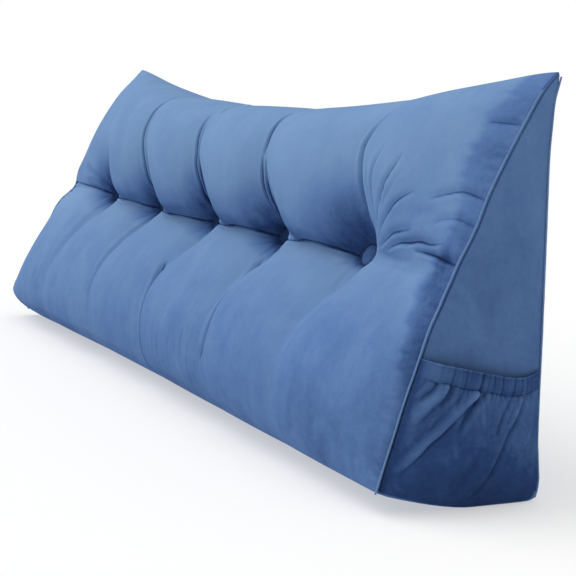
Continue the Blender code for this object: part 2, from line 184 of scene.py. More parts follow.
@dataclass(frozen=True)
class PillowForm:
    """The measured shape that the cover follows. Its own frame has the middle button at x = 0."""

    length: float = 1.50
    corner_height: float = 0.502
    top_middle_height: float = 0.4375
    pitch: float = 0.25
    button_count: int = 5
    row_height: float = 0.262
    seat_y: float = 0.012
    face_tilt: float = math.radians(27.0)
    top_inset: float = 0.028
    inset_power: float = 2.2
    inset_fade_power: float = 5.0
    row_pinch: float = 0.008
    pinch_reach: float = 0.030
    pinch_fade: float = 0.026
    lift_left: float = 0.012
    lift_right: float = 0.0265
    lift_in_middle: float = 0.031
    lift_power: float = 1.5
    sag_reach: float = 1.5
    flat_front_at_side: float = 0.010
    flat_front_in_middle: float = -0.050
    front_rise_power: float = 1.35
    back_crown: float = 0.014
    back_crown_power: float = 8.0
    side_crown: float = 0.004
    side_crown_fade: float = 0.08
    least_panel_width: float = 0.002
    soft_sharpness: float = 2.0
    soft_depth: float = 0.5
    left_shift_power: float = 2.0

    @property
    def outward(self) -> Array:
        """The direction that the buttons face."""
        return np.array([0.0, -math.cos(self.face_tilt), math.sin(self.face_tilt)])

    @property
    def half(self) -> float:
        """Half of the length."""
        return self.length / 2

    def button_places(self) -> Array:
        """X of each button."""
        return (np.arange(self.button_count) - (self.button_count - 1) / 2) * self.pitch

    def gaps(self, x: Array) -> Array:
        """How far each x lies to the right of each button, with a last axis of the buttons."""
        return x[..., None] - self.button_places()

    def outward_share(self, x: Array) -> Array:
        """How far along its half of the length each x lies, from 0 to 1."""
        return np.minimum(1.0, np.abs(x) / self.half)

    def inset(self, z: Array) -> Array:
        """How far the side panels lean in at a height."""
        return self.top_inset * (np.maximum(0.0, z) / self.corner_height) ** self.inset_power

    def pinch(self, z: Array) -> Array:
        """How far the row of buttons draws the front seams in at a height."""
        return self.row_pinch * bell(z - self.row_height, self.pinch_reach)

    def drawn_in(self, x: Array, inset: Array) -> Array:
        """X of points once the side panels, which lean in by the inset, have drawn them in."""
        return x - np.sign(x) * inset * self.outward_share(x) ** self.inset_fade_power

    def front_lift(self, x: Array) -> Array:
        """Height of the bottom seam above the surface that the pillow rests on."""
        rise = np.where(x < 0, self.lift_left, self.lift_right) - self.lift_in_middle
        return self.lift_in_middle + rise * self.outward_share(x) ** self.lift_power

    def stretched(self, z: Array, top: Array, bottom: Array) -> Array:
        """Move heights of the rows with the edges at their place.

        Args:
            z: the heights.
            top: the height of the top edge there.
            bottom: the height of the bottom seam there.

        Returns:
            The new heights.
        """
        row = self.row_height
        above = row + (z - row) * (top - row) / (self.top_middle_height - row)
        return np.where(z > row, above, row - (row - z) * (row - bottom) / (row - SEAM[0, 1]))

    def seam(self, x: Array, level: Array) -> tuple[Array, Array]:
        """The side seam, with its foot at the bottom seam's height.

        Args:
            x: where the points that ask for it lie along the length.
            level: their fractional rows.

        Returns:
            Its y and its z.
        """
        y, z = np.moveaxis(smooth_read(SEAM, level), -1, 0)
        lowered = self.stretched(z, np.full_like(z, self.top_middle_height), self.front_lift(x))
        return y, np.where(z < self.row_height, lowered, z)

    def face(self, x: Array, level: Array, softness: "Array | float" = 0.0, shift: "Array | float" = 0.0) -> Array:
        """Points of the front.

        Args:
            x: where they lie along the length.
            level: their fractional rows, of the same shape.
            softness: from 0, where the creases between the rolls are sharp, to 1, where they are broad and shallow.
            shift: how far to the right of its button the crease nearest to each point runs there.

        Returns:
            The points, with a last axis of x, y and z.
        """
        beside = np.maximum(0.0, 1.0 - np.min(np.abs(self.gaps(x - shift)), axis=-1) / (self.pitch / 2))
        soft = self.soft_depth * beside**self.soft_sharpness * softness
        in_crease = beside ** smooth_read(SHARPNESS, level) * (1.0 - softness) + soft
        puff = smooth_read(PUFF, level)
        y, z = np.moveaxis(puff + (smooth_read(CREASE, level) - puff) * in_crease[..., None], -1, 0)
        z = self.stretched(z, on_curve(TOP_EDGE, x), self.front_lift(x))
        seam_y, seam_z = self.seam(x, level)
        fullness = (1.0 - self.outward_share(x) ** smooth_read(END_POWER, level)) ** smooth_read(END_ROOT, level)
        y = seam_y + (y - seam_y) * fullness
        z = seam_z + (z - seam_z) * fullness - on_curve(ROW_SAG, x) * bell(level - BUTTON_LEVEL, self.sag_reach)
        y = y + np.maximum(0.0, -x / self.half) ** self.left_shift_power * on_curve(LEFT_SHIFT, z)
        return np.stack([self.drawn_in(x, self.inset(z) + self.pinch(z)), y, z], axis=-1)

    def back(self, x: Array, share: Array, crest: Array) -> Array:
        """Points of the back panel.

        Args:
            x: where they lie along the length.
            share: their heights as shares of the crest's.
            crest: the height of the top edge above each.

        Returns:
            The points, with a last axis of x, y and z.
        """
        crown = self.back_crown * np.sqrt(1.0 - self.outward_share(x) ** self.back_crown_power)
        y = on_curve(BACK_ROWS, share) + crown * np.sin(math.pi * share) ** 0.5
        return np.stack([self.drawn_in(x, self.inset(crest * share)), y, crest * share], axis=-1)

    def front_seam(self, z: Array) -> Array:
        """Y of the right front seam at a height."""
        level = np.linspace(0.0, LAST_ROW, 120)
        return np.interp(z, *reversed(self.seam(np.full_like(level, self.half), level)))

    def back_seam(self, z: Array) -> Array:
        """Y of the back seams at a height."""
        return on_curve(BACK_ROWS, z / self.corner_height)

    def side_panel_x(self, y: Array, z: Array) -> Array:
        """Distance of the right side panel from the middle, with what its filling pushes it out.

        Args:
            y: where its points lie from front to back.
            z: their heights.

        Returns:
            One distance per point.
        """
        front, back = self.front_seam(z), self.back_seam(z)
        across = unit((y - front) / np.maximum(back - front, self.least_panel_width))
        room = unit((back - front) / self.side_crown_fade) * unit(z / self.side_crown_fade)
        crown = self.side_crown * np.sin(math.pi * across) * np.sin(math.pi / 2 * room)
        return self.half - self.inset(z) + crown - self.pinch(z) * bell(np.maximum(0.0, y - front), self.pinch_fade)


FORM = PillowForm()
BUTTON_HALF_THICKNESS = 0.0045
BUTTON_GAP = 0.0003


def cad_place() -> Vector:
    """Where the form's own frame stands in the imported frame, read from the middle button.

    Returns:
        The place of its origin.
    """
    low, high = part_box("button_3")
    lift = BUTTON_HALF_THICKNESS + BUTTON_GAP
    place = (low + high) / 2 - Vector((0.0, FORM.seat_y, FORM.row_height)) - Vector(FORM.outward) * lift
    return Vector((place.x, place.y, 0.0))


PLACE = cad_place()


def select_only(obj: bpy.types.Object) -> None:
    """Make one object the selected and active one.

    Args:
        obj: the object.
    """
    bpy.ops.object.select_all(action="DESELECT")
    obj.select_set(True)
    bpy.context.view_layer.objects.active = obj


def apply_modifier(obj: bpy.types.Object, kind: str, **settings: object) -> None:
    """Add a modifier, set it and apply it.

    Args:
        obj: the object that takes it.
        kind: the modifier's type.
        settings: its values by name.
    """
    select_only(obj)
    modifier = obj.modifiers.new(kind.lower(), kind)
    for name, value in settings.items():
        setattr(modifier, name, value)
    bpy.ops.object.modifier_apply(modifier=modifier.name)


def rows_of(data: bpy.types.bpy_prop_collection, name: str, width: int = 3) -> Array:
    """Read a property of each item of a mesh.

    Args:
        data: the mesh's vertices, normals or values.
        name: the property.
        width: how many numbers it has.

    Returns:
        One row per item.
    """
    values = np.empty(len(data) * width, np.float32)
    data.foreach_get(name, values)
    return values.reshape(-1, width).astype(float)


def points_of(mesh: bpy.types.Mesh) -> Array:
    """The vertices of a mesh as an array of x, y, z rows."""
    return rows_of(mesh.vertices, "co")


def normals_of(mesh: bpy.types.Mesh) -> Array:
    """The vertex normals of a mesh as an array."""
    return rows_of(mesh.vertex_normals, "vector")


def read_attribute(mesh: bpy.types.Mesh, name: str) -> Array:
    """Read back the numbers that a mesh stores per vertex under a name."""
    return rows_of(mesh.attributes[name].data, "value", 1)[:, 0]


def add_attribute(mesh: bpy.types.Mesh, name: str, values: Array) -> None:
    """Store one number per vertex under a name."""
    attribute = mesh.attributes.get(name) or mesh.attributes.new(name, "FLOAT", "POINT")
    attribute.data.foreach_set("value", values.astype(np.float32))


def set_points(mesh: bpy.types.Mesh, points: Array) -> None:
    """Write an array of x, y, z rows into a mesh's vertices."""
    mesh.vertices.foreach_set("co", points.astype(np.float32).ravel())
    mesh.update()


@dataclass(frozen=True)
class Fold:
    """A crease pressed into cloth, or with a depth below 0 a ridge, along a path in the cloth's own metres.

    The trough is deepest on the path, and the cloth that it takes up rises as a lip on each side. Start and end are the
    shares of the depth that it has there. A lean above 0 makes the side to the left of the path gentler and the other
    steeper. The crease shade is how dark a line of painted shade along its bottom is drawn.
    """

    path: "Array | Pairs"
    depth: float
    width: float
    start: float = 0.0
    end: float = 0.0
    lean: float = 0.0
    lip: float = 0.4
    ink: float = 1.0

    def measured(self, places: Array, reach: float) -> tuple[Array, Array, Array]:
        """Where points lie from the fold.

        Args:
            places: the points' places on the cloth, as rows of two numbers.
            reach: how far from the fold to look.

        Returns:
            The indices of the points within reach, their distances from the path, above 0 on its left, and the share
            of the fold's depth where each is closest to it.
        """
        parts = len(self.path) - 1
        line = smooth_read(self.path, np.linspace(0.0, parts, 30 * parts + 1))
        index = np.flatnonzero(np.all((places > line.min(0) - reach) & (places < line.max(0) + reach), axis=1))
        gaps = places[index][:, None, :] - line[None, :, :]
        distance = np.linalg.norm(gaps, axis=-1)
        closest = distance.argmin(axis=1)
        rows = np.arange(len(index))
        tangent, offset = np.gradient(line, axis=0)[closest], gaps[rows, closest]
        left = tangent[:, 0] * offset[:, 1] > tangent[:, 1] * offset[:, 0]
        share = closest / (len(line) - 1)
        strength = np.maximum(np.sin(math.pi * share) ** 0.6, np.where(share < 0.5, self.start, self.end))
        return index, np.where(left, 1.0, -1.0) * distance[rows, closest], strength

    def pressed(self, places: Array) -> Array:
        """How far each point of the cloth moves outwards.

        Args:
            places: the points' places on the cloth, as rows of two numbers.

        Returns:
            One distance per point, below 0 in the trough.
        """
        moved = np.zeros(len(places))
        index, gap, strength = self.measured(places, 4 * self.width)
        across = np.abs(gap) / (self.width * (1.0 + self.lean * np.sign(gap)))
        lips = self.lip * (1.0 - self.lean * np.sign(gap)) * bell(across - 1.9, 0.9)
        moved[index] = self.depth * strength * (lips - bell(across, 1.0, 1.6))
        return moved


def pressed_by(folds: tuple[Fold, ...], places: Array) -> Array:
    """How far folds together move each point of the cloth outwards."""
    return sum((fold.pressed(places) for fold in folds), np.zeros(len(places)))


def store_crease_shade_lines(mesh: bpy.types.Mesh, places: Array, sets: "tuple[tuple[Fold, ...], ...]") -> None:
    """Store each vertex's distance from a fold's bottom line and how dark its painted shade line is, for the finish.

    Args:
        mesh: the cloth.
        places: its vertices' places on the cloth.
        sets: folds by set. Those of one set lie apart from each other.
    """
    reach, full_depth = 0.016, 0.0034
    for number, folds in enumerate(sets):
        gaps, depths = np.full(len(places), reach), np.zeros(len(places))
        for fold in folds:
            index, gap, strength = fold.measured(places, reach)
            nearer = np.abs(gap) < np.abs(gaps[index])
            gaps[index[nearer]] = gap[nearer]
            depths[index[nearer]] = (fold.ink * strength * min(1.0, abs(fold.depth) / full_depth))[nearer]
        depths[np.abs(gaps) > 0.7 * reach] = 0.0
        add_attribute(mesh, f"line_gap_{number}", gaps)
        add_attribute(mesh, f"line_depth_{number}", depths)


class Graph:
    """The nodes of a material or a world, each added together with what feeds it."""

    def __init__(self, owner: "bpy.types.Material | bpy.types.World") -> None:
        """Start from the nodes that the owner has."""
        owner.use_nodes = True
        self.nodes, self.links = owner.node_tree.nodes, owner.node_tree.links

    def plug(self, slot: bpy.types.NodeSocket, value: object) -> None:
        """Link a socket to a slot, or set the slot to a value.

        Args:
            slot: the input of a node.
            value: the output that feeds it, or a value.
        """
        if isinstance(value, bpy.types.NodeSocket):
            self.links.new(value, slot)
        else:
            slot.default_value = value

    def feed(self, node: bpy.types.Node, **inputs: object) -> bpy.types.Node:
        """Feed a node sockets or values.

        Args:
            node: the node.
            inputs: what feeds each input, by its name with _ for a space.

        Returns:
            The node.
        """
        for name, value in inputs.items():
            self.plug(node.inputs[name.replace("_", " ")], value)
        return node

    def add(self, kind: str, **inputs: object) -> bpy.types.Node:
        """Add a node and feed it."""
        return self.feed(self.nodes.new(f"ShaderNode{kind}"), **inputs)

    def math(self, operation: str, *terms: "bpy.types.NodeSocket | float") -> bpy.types.NodeSocket:
        """Work on sockets or numbers.

        Args:
            operation: what to do.
            terms: what to do it with.

        Returns:
            The result.
        """
        node = self.add("Math")
        node.operation = operation
        for slot, term in zip(node.inputs, terms):
            self.plug(slot, term)
        return node.outputs["Value"]

    def attribute(self, name: str) -> bpy.types.NodeSocket:
        """Read a number that the mesh stores.

        Args:
            name: what it is stored under.

        Returns:
            The number.
        """
        node = self.add("Attribute")
        node.attribute_name = name
        return node.outputs["Fac"]

    def noise(self, place: bpy.types.NodeSocket, size: float, **settings: float) -> bpy.types.NodeSocket:
        """Add a noise texture whose blots have a size in metres."""
        return self.add("TexNoise", Vector=place, Scale=1.0 / size, Roughness=0.6, **settings).outputs["Fac"]

    def ramp(self, value: bpy.types.NodeSocket, colours: list[tuple], kind: str = "LINEAR") -> bpy.types.NodeSocket:
        """Turn a value into a colour.

        Args:
            value: from 0 to 1.
            colours: (value, red, green, blue) of each stop, in rising order.
            kind: how to go from one colour to the next.

        Returns:
            The colour.
        """
        node = self.add("ValToRGB", Fac=value)
        node.color_ramp.interpolation = kind
        stops = node.color_ramp.elements
        while len(stops) < len(colours):
            stops.new(0.5)
        for stop, (position, *colour) in zip(stops, colours):
            stop.position, stop.color = position, (*colour, 1.0)
        return node.outputs["Color"]


@dataclass(frozen=True)
class Velvet:
    """A short pile, whose colour the painted shade moves from a lit colour to shaded copies of it."""

    name: str
    # Lit and shaded copies of one colour, between which the painted shade picks
    lit: tuple[float, float, float]
    half_shaded: tuple[float, float, float]
    shaded: tuple[float, float, float]
    deep: tuple[float, float, float]
    patch_size: float = 0.09
    patch_contrast: float = 0.16
    patch_calm: float = 0.55
    patch_in_shade: float = 1.5
    patch_range: tuple[float, float] = (0.72, 1.08)
    stroke_stretch: tuple[float, float, float] = (1.0, 0.6, 0.28)
    stroke_weight: float = 0.45
    scuff_weight: float = 0.35
    darkest: float = 1.5
    pile_size: float = 0.0011
    pile_depth: float = 0.0004
    roughness: float = 0.8
    shine: float = 0.01
    line_sets: int = 4
    line_width: float = 0.0012
    line_depth: float = 0.0009

    def material(self) -> bpy.types.Material:
        """Build the node material, or find it if it is built.

        Returns:
            A material with this finish.
        """
        made = bpy.data.materials.get(self.name)
        if made:
            return made
        material = bpy.data.materials.new(self.name)
        graph = Graph(material)
        place = graph.add("TexCoord").outputs["Object"]
        stretched = graph.add("Mapping", Vector=place, Scale=self.stroke_stretch).outputs["Vector"]
        patches = graph.noise(place, self.patch_size, Detail=5.0, Distortion=0.35)
        strokes = graph.noise(stretched, self.patch_size / 4, Detail=4.0)
        scuffs = graph.noise(place, self.patch_size / 9, Detail=3.0, Distortion=1.2)
        marks = graph.math("MULTIPLY_ADD", strokes, self.stroke_weight, patches)
        marks = graph.math("MULTIPLY_ADD", scuffs, self.scuff_weight, marks)
        low, high = self.patch_range
        reach = self.patch_contrast / 2
        ranged = graph.add("MapRange", Value=marks, From_Min=low, From_Max=high, To_Min=-reach, To_Max=reach)
        # Painted shade: the stored shade, with the mottling and the painted crease lines, darkens the colour
        crease_shade_lines, brushed = self.crease_shade_lines(graph), graph.attribute("brushed")
        strength = graph.math("MULTIPLY_ADD", brushed, self.patch_in_shade, self.patch_calm)
        total = graph.math("MULTIPLY_ADD", ranged.outputs["Result"], strength, brushed)
        total = graph.math("DIVIDE", graph.math("ADD", total, crease_shade_lines), self.darkest)
        shades = (self.lit, self.half_shaded, self.shaded, self.deep)
        colour = graph.ramp(total, [(number / 3, *shade) for number, shade in enumerate(shades)])
        pile = graph.noise(place, self.pile_size, Detail=2.0)
        height = graph.math("MULTIPLY_ADD", pile, self.pile_depth, graph.math("MULTIPLY", crease_shade_lines, -self.line_depth))
        bump = graph.add("Bump", Height=height, Strength=0.5, Distance=1.0)
        graph.feed(graph.nodes["Principled BSDF"], Base_Color=colour, Normal=bump.outputs["Normal"],
                   Roughness=self.roughness, Specular_IOR_Level=self.shine)
        return material

    def crease_shade_lines(self, graph: Graph) -> bpy.types.NodeSocket:
        """Paint fine lines of shade along the bottoms of the folds and beside the seam, thinner than the mesh could.

        Args:
            graph: the nodes to add to.

        Returns:
            A value, 0 away from the lines and up to 1 on them.
        """
        total = 0.0
        for number in range(self.line_sets):
            gap = graph.math("DIVIDE", graph.attribute(f"line_gap_{number}"), self.line_width)
            curve = graph.math("EXPONENT", graph.math("MULTIPLY", graph.math("MULTIPLY", gap, gap), -1.0))
            total = graph.math("MULTIPLY_ADD", curve, graph.attribute(f"line_depth_{number}"), total)
        return total


@dataclass
class Piece:
    """A visible piece, with the shape that it follows and its finish."""

    form: PillowForm
    finish: Velvet
    obj: bpy.types.Object = field(init=False)
    name: ClassVar[str]
    node: ClassVar[str]
    slot: ClassVar[str]

    def take_primitive(self) -> Array:
        """Take the new primitive as the piece's object.

        Returns:
            Its vertices.
        """
        self.obj = bpy.context.object
        self.obj.name = self.name
        return points_of(self.obj.data)

    def dress(self) -> None:
        """Give the piece its velvet, hide the CAD part that it stands for and hang it under the root body."""
        self.obj.data.materials.clear()
        self.obj.data.materials.append(self.finish.material())
        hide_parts(self.node)
        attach(self.obj, "root")


class Tuft(NamedTuple):
    """How the cloth behaves round one button. Each pair is for above it and below it.

    Softness is that of the crease, bow how far its path swings to the right, rim how high the cloth stands round the
    tuft. The slope is how steeply the cloth rises from the seat on the right. The shade is how dark the painted shade
    is there, with how far it reaches to the left and up, and to the left and down.
    """

    softness: tuple[float, float]
    bow: tuple[float, float]
    rim: tuple[float, float]
    slope: float
    shade: float
    dark_above: tuple[float, float]
    dark_below: tuple[float, float]


TUFTS = (
    Tuft((1.40, 0.95), (0.014, 0.016), (0.004, 0.005), 7.0, 1.15, (0.074, 0.074), (0.065, 0.036)),
    Tuft((0.55, 0.85), (0.014, 0.006), (0.006, 0.008), 7.0, 1.15, (0.078, 0.070), (0.058, 0.036)),
    Tuft((0.45, 0.65), (0.013, 0.013), (0.005, 0.007), 3.0, 1.25, (0.084, 0.074), (0.056, 0.036)),
    Tuft((0.45, 0.60), (0.010, 0.018), (0.001, 0.006), 2.0, 1.18, (0.110, 0.074), (0.056, 0.038)),
    Tuft((0.80, 0.95), (0.024, 0.014), (0.000, 0.006), 0.85, 1.20, (0.112, 0.094), (0.036, 0.020)),
)
BOW_ABOVE = ((0.0, 0.0), (0.02, 0.8), (0.05, 1.0), (0.08, 0.75), (0.11, 0.5), (0.15, 0.25), (0.20, 0.15), (0.26, 0.0))
BOW_BELOW = ((0.0, 0.0), (0.015, 0.7), (0.035, 1.0), (0.055, 0.8), (0.085, 0.3), (0.12, 0.0))


@dataclass
class Cover(Piece):
    """The cushion's velvet cover: front, back, bottom and two side panels, as one closed and padded piece.

    The painted shade goes by the height up the cloth and by the height of the side panels, and the colour is also
    darker in a band beside the right seam, whose rows are (up, where it starts along the cloth, shade).
    """

    name = "velvet_cover"
    node = "cushion"
    slot = "face_velvet"
    folds: tuple[Fold, ...] = ()
    # The folds whose bottoms get a line of painted shade
    crease_shade_lines: tuple[tuple[Fold, ...], ...] = ()
    columns: int = 236
    face_rows: int = 78
    back_rows: int = 9
    side_rings: tuple[float, ...] = (0.985, 0.95, 0.86, 0.70, 0.52, 0.32, 0.14)
    overhang: float = 0.0105
    overhang_reach: float = 0.042
    shelf: float = 0.0035
    shelf_reach: float = 0.030
    roll_edge: float = 0.055
    rim_radius: float = 0.027
    rim_inside: float = 0.011
    rim_outside: float = 0.050
    rim_on_left: float = 0.15
    rim_blend: float = 0.008
    row_groove: float = 0.0005
    row_groove_width: float = 0.0035
    row_groove_gap: float = 0.022
    row_fade_right: float = 0.075
    row_fade_left: float = 0.16
    seat_radius: float = 0.0165
    seat_wall_slope: float = 7.0
    # Painted shade on the cover by height, to the right and at the right end, on the side panels, by the seams, facing
    # down, round the tufts and in the folds; the band by the right seam is darker too
    shade_by_height: Pairs = (
        (-0.30, 0.52), (-0.20, 0.42), (-0.10, 0.29), (-0.04, 0.14), (-0.008, 0.02), (0.002, 0.20), (0.03, 0.27),
        (0.06, 0.25), (0.12, 0.16), (0.25, 0.08),
    )
    shade_to_right: float = 0.12
    shade_at_right_end: float = 0.09
    band: tuple[tuple[float, float, float], ...] = (
        (-0.30, 0.742, 0.35), (-0.22, 0.742, 0.45), (-0.17, 0.741, 0.58), (-0.13, 0.736, 0.72), (-0.096, 0.727, 0.82),
        (-0.06, 0.714, 0.86), (-0.019, 0.699, 0.86), (0.014, 0.702, 0.80), (0.041, 0.712, 0.70), (0.067, 0.714, 0.66),
        (0.097, 0.712, 0.62), (0.121, 0.700, 0.60), (0.15, 0.697, 0.62), (0.20, 0.702, 0.62), (0.27, 0.705, 0.50),
    )
    band_edge: float = 0.020
    band_ragged: float = 0.004
    band_steps: int = 90
    band_fringe: float = 0.30
    side_shade: Pairs = ((0.24, 0.55), (0.40, 0.40))
    seam_shade: Pairs = ((-0.20, 0.40), (-0.05, 0.85))
    seam_reach: float = 0.006
    # A line of painted shade on the side panel beside the front seam
    seam_line: float = 0.0034
    seam_line_ink: float = 0.55
    shade_facing_down: float = 0.6
    dark_right_of_tuft: float = 0.010
    fold_shade: float = 70.0
    fill: float = 0.7
    cloth_frames: int = 20
    cloth_pressure: float = 4.0
    held_at_tuft: float = 0.032
    held_in_crease: float = 0.010
    held_in_row: float = 0.009
    held_at_end: float = 0.012
    held_at_foot: float = 0.02
    most_swell: float = 0.005

    def near(self, name: str, x: Array, above: Array) -> Array:
        """Read a pair of the nearest tuft: its first value above the row of buttons and its second below."""
        nearest = np.argmin(np.abs(self.form.gaps(x)), axis=-1)
        return np.array([getattr(tuft, name) for tuft in TUFTS])[nearest, np.where(above, 0, 1)]

    def crease_softness(self, x: Array, level: Array) -> Array:
        """How soft the crease nearest to each point of the front is, 0 at the level of the buttons."""
        from_row = unit((np.abs(level - BUTTON_LEVEL) - 1.3) / 2.4)
        return self.near("softness", x, level > BUTTON_LEVEL) * from_row

    def crease_shift(self, x: Array, up: Array) -> Array:
        """How far to the right of its button the nearest crease runs, fading out halfway to the next.

        Args:
            x: where the points lie along the length.
            up: how far up the cloth from the row each lies.

        Returns:
            One distance per point.
        """
        beside = np.min(np.abs(self.form.gaps(x)), axis=-1)
        share = np.where(up > 0, on_curve(BOW_ABOVE, np.abs(up)), on_curve(BOW_BELOW, np.abs(up)))
        return self.near("bow", x, up > 0) * share * unit(2.0 - 5.0 * beside / self.form.pitch)

    def plumpness(self, x: Array, up: Array) -> Array:
        """How far the filling pushes the front out beyond the form, mostly along the row of buttons.

        Args:
            x: where the points lie along the length.
            up: how far up the cloth from the row each lies.

        Returns:
            One distance per point, outwards.
        """
        gaps = self.form.gaps(x - self.crease_shift(x, up))
        nearest = np.argmin(np.abs(gaps), axis=-1)
        gap = np.take_along_axis(gaps, nearest[..., None], axis=-1)[..., 0]
        away = np.hypot(gap, up)
        on_roll = 1.0 - bell(gap, self.roll_edge)
        climb, drop = np.maximum(up, 0.0) / self.overhang_reach, np.maximum(-up, 0.0) / self.shelf_reach
        pushed = self.overhang * on_roll * climb * np.exp(1.0 - climb)
        pushed += self.shelf * on_roll * drop * np.exp(1.0 - drop)
        mix = 0.5 + 0.5 * np.tanh(up / self.rim_blend)
        rims = self.near("rim", x, up > OFF_FRONT) * (1.0 - mix) + self.near("rim", x, up < OFF_FRONT) * mix
        to_right = np.maximum(0.0, gap / np.maximum(away, 0.001)) ** 0.6
        past_rim = (away - self.rim_radius) / np.where(away < self.rim_radius, self.rim_inside, self.rim_outside)
        pushed += rims * (self.rim_on_left + (1.0 - self.rim_on_left) * to_right) * bell(past_rim, 1.0)
        groove = bell(np.abs(up), self.row_groove_width, 1.5)
        pushed -= self.row_groove * (1.0 - bell(away, self.row_groove_gap)) * groove
        past_row = np.maximum(0.0, np.abs(x) - self.form.button_places()[-1])
        return pushed * bell(past_row, np.where(x > 0, self.row_fade_right, self.row_fade_left))

    def seated(self, points: Array) -> Array:
        """Hold the cloth down round each button, so that the button has a level seat.

        Args:
            points: points of the front, with a last axis of x, y and z.

        Returns:
            The same points, with those that stood over a seat pressed back.
        """
        form = self.form
        for place, tuft in zip(form.button_places(), TUFTS):
            offset = points - np.array([place, form.seat_y, form.row_height])
            rise = offset @ form.outward
            away = np.linalg.norm(offset - rise[..., None] * form.outward, axis=-1)
            to_right = unit(offset[..., 0] / np.maximum(away, 1e-6)) ** 0.7
            slope = self.seat_wall_slope ** (1.0 - to_right) * tuft.slope**to_right
            allowed = np.maximum(0.0, away - self.seat_radius) * slope
            over = (rise > allowed) & (away < form.pitch / 4)
            points = points - np.where(over, rise - allowed, 0.0)[..., None] * form.outward
        return points

    def front(self) -> tuple[Array, Array, Array]:
        """Points of the front.

        Returns:
            The points as columns by rows by 3, the x of each column, and how far up the cloth each point lies.
        """
        form = self.form
        crowd = [(place, 0.028, 1.8) for place in form.button_places()]
        crowd += [(side.value * form.half, 0.02, 1.6) for side in Side]
        x = spaced(-form.half, form.half, self.columns, crowd)
        level = spaced(0.0, LAST_ROW, self.face_rows, [(BUTTON_LEVEL, 0.8, 1.6), (13.6, 0.6, 0.8)])
        grid_x, grid_level = np.meshgrid(x, level, indexing="ij")
        softness = self.crease_softness(grid_x, grid_level)
        face = form.face(grid_x, grid_level, softness)
        step = np.linalg.norm(np.diff(face[:, :, 1:], axis=1), axis=-1)
        climbed = np.concatenate([np.zeros((len(x), 1)), np.cumsum(step, axis=1)], axis=1)
        up = climbed - np.array([[np.interp(BUTTON_LEVEL, level, row)] for row in climbed])
        face = form.face(grid_x, grid_level, softness, self.crease_shift(grid_x, up))
        outward = np.cross(np.gradient(face, axis=0), np.gradient(face, axis=1))
        outward /= np.linalg.norm(outward, axis=-1, keepdims=True)
        return self.seated(face + outward * self.plumpness(grid_x, up)[..., None]), x, up

    def sections(self) -> tuple[Array, Array, Array]:
        """Points round the pillow at each column: up the front, down the back and along the bottom.

        Returns:
            The points as columns by points by 3, the x of each column, and how far up the cloth each point of the
            front lies.
        """
        form = self.form
        face, x, up = self.front()
        share = np.linspace(BACK_ROWS[-1][0], BACK_ROWS[0][0], self.back_rows)
        back = form.back(*np.meshgrid(x, share, indexing="ij"), face[:, -1:, 2])
        middle_share = 1.0 - form.outward_share(x) ** 4
        flat_front = form.flat_front_at_side + (form.flat_front_in_middle - form.flat_front_at_side) * middle_share
        seam_y, seam_z = face[:, 0, 1], face[:, 0, 2]
        around = [(y + 0 * x, z + 0 * x) for y, z in BACK_EDGE]
        around += [(flat_front + (BACK_EDGE[-1][0] - flat_front) * part, 0 * x) for part in (0.72, 0.45, 0.2, 0.0)]
        around += [(flat_front + (seam_y - flat_front) * part, seam_z * part**form.front_rise_power)
                   for part in (0.25, 0.5, 0.75)]
        under = np.stack([np.stack([x, y, z], axis=-1) for y, z in around], axis=1)
        return np.concatenate([face, back, under], axis=1), x, up

    def build(self) -> None:
        """Make the cover's mesh, swollen, creased and given its painted shade."""
        points, x, up = self.sections()
        columns, around = points.shape[:2]
        bpy.ops.object.select_all(action="DESELECT")
        bpy.ops.mesh.primitive_grid_add(x_subdivisions=columns - 1, y_subdivisions=around, size=2.0)
        share = (self.take_primitive() + 1) / 2
        mesh = self.obj.data
        column, row = (np.rint(share[:, k] * steps).astype(int) for k, steps in ((0, columns - 1), (1, around)))
        set_points(mesh, points[column, row % around])
        off_front = np.full((columns, around + 1 - up.shape[1]), OFF_FRONT)
        add_attribute(mesh, "along", x[column])
        add_attribute(mesh, "up", np.concatenate([up, off_front], axis=1)[column, row])
        self.close_sides(mesh)
        self.swell()
        apply_modifier(self.obj, "SUBSURF", levels=1, render_levels=1)
        self.press_folds()
        self.paint_shade()
        self.obj.data.transform(Matrix.Translation(PLACE))
        self.obj.data.shade_smooth()

    def close_sides(self, mesh: bpy.types.Mesh) -> None:
        """Weld the grid round into a tube and fill each end with rings of a side panel.

        Args:
            mesh: the grid, already wrapped round the sections.
        """
        bm = bmesh.new()
        bm.from_mesh(mesh)
        up = bm.verts.layers.float["up"]
        bmesh.ops.remove_doubles(bm, verts=bm.verts, dist=1e-5)
        for side in Side:
            edges = [edge for edge in bm.edges if edge.is_boundary and edge.verts[0].co.x * side.value > 0]
            rim = dict.fromkeys(vert for edge in edges for vert in edge.verts)
            centre = sum((vert.co for vert in rim), Vector()) / len(rim)
            previous = 1.0
            for ring in self.side_rings:
                made = bmesh.ops.extrude_edge_only(bm, edges=edges)["geom"]
                edges = [item for item in made if isinstance(item, bmesh.types.BMEdge)]
                verts = [item for item in made if isinstance(item, bmesh.types.BMVert)]
                for vert in verts:
                    vert.co = centre + (vert.co - centre) * (ring / previous)
                    vert[up] = OFF_FRONT
                y, z = np.array([vert.co.yz for vert in verts], float).T
                for vert, reach in zip(verts, self.form.side_panel_x(y, z)):
                    vert.co.x = side.value * reach
                previous = ring
            bmesh.ops.contextual_create(bm, geom=edges)
        bmesh.ops.recalc_face_normals(bm, faces=bm.faces)
        bm.to_mesh(mesh)
        bm.free()

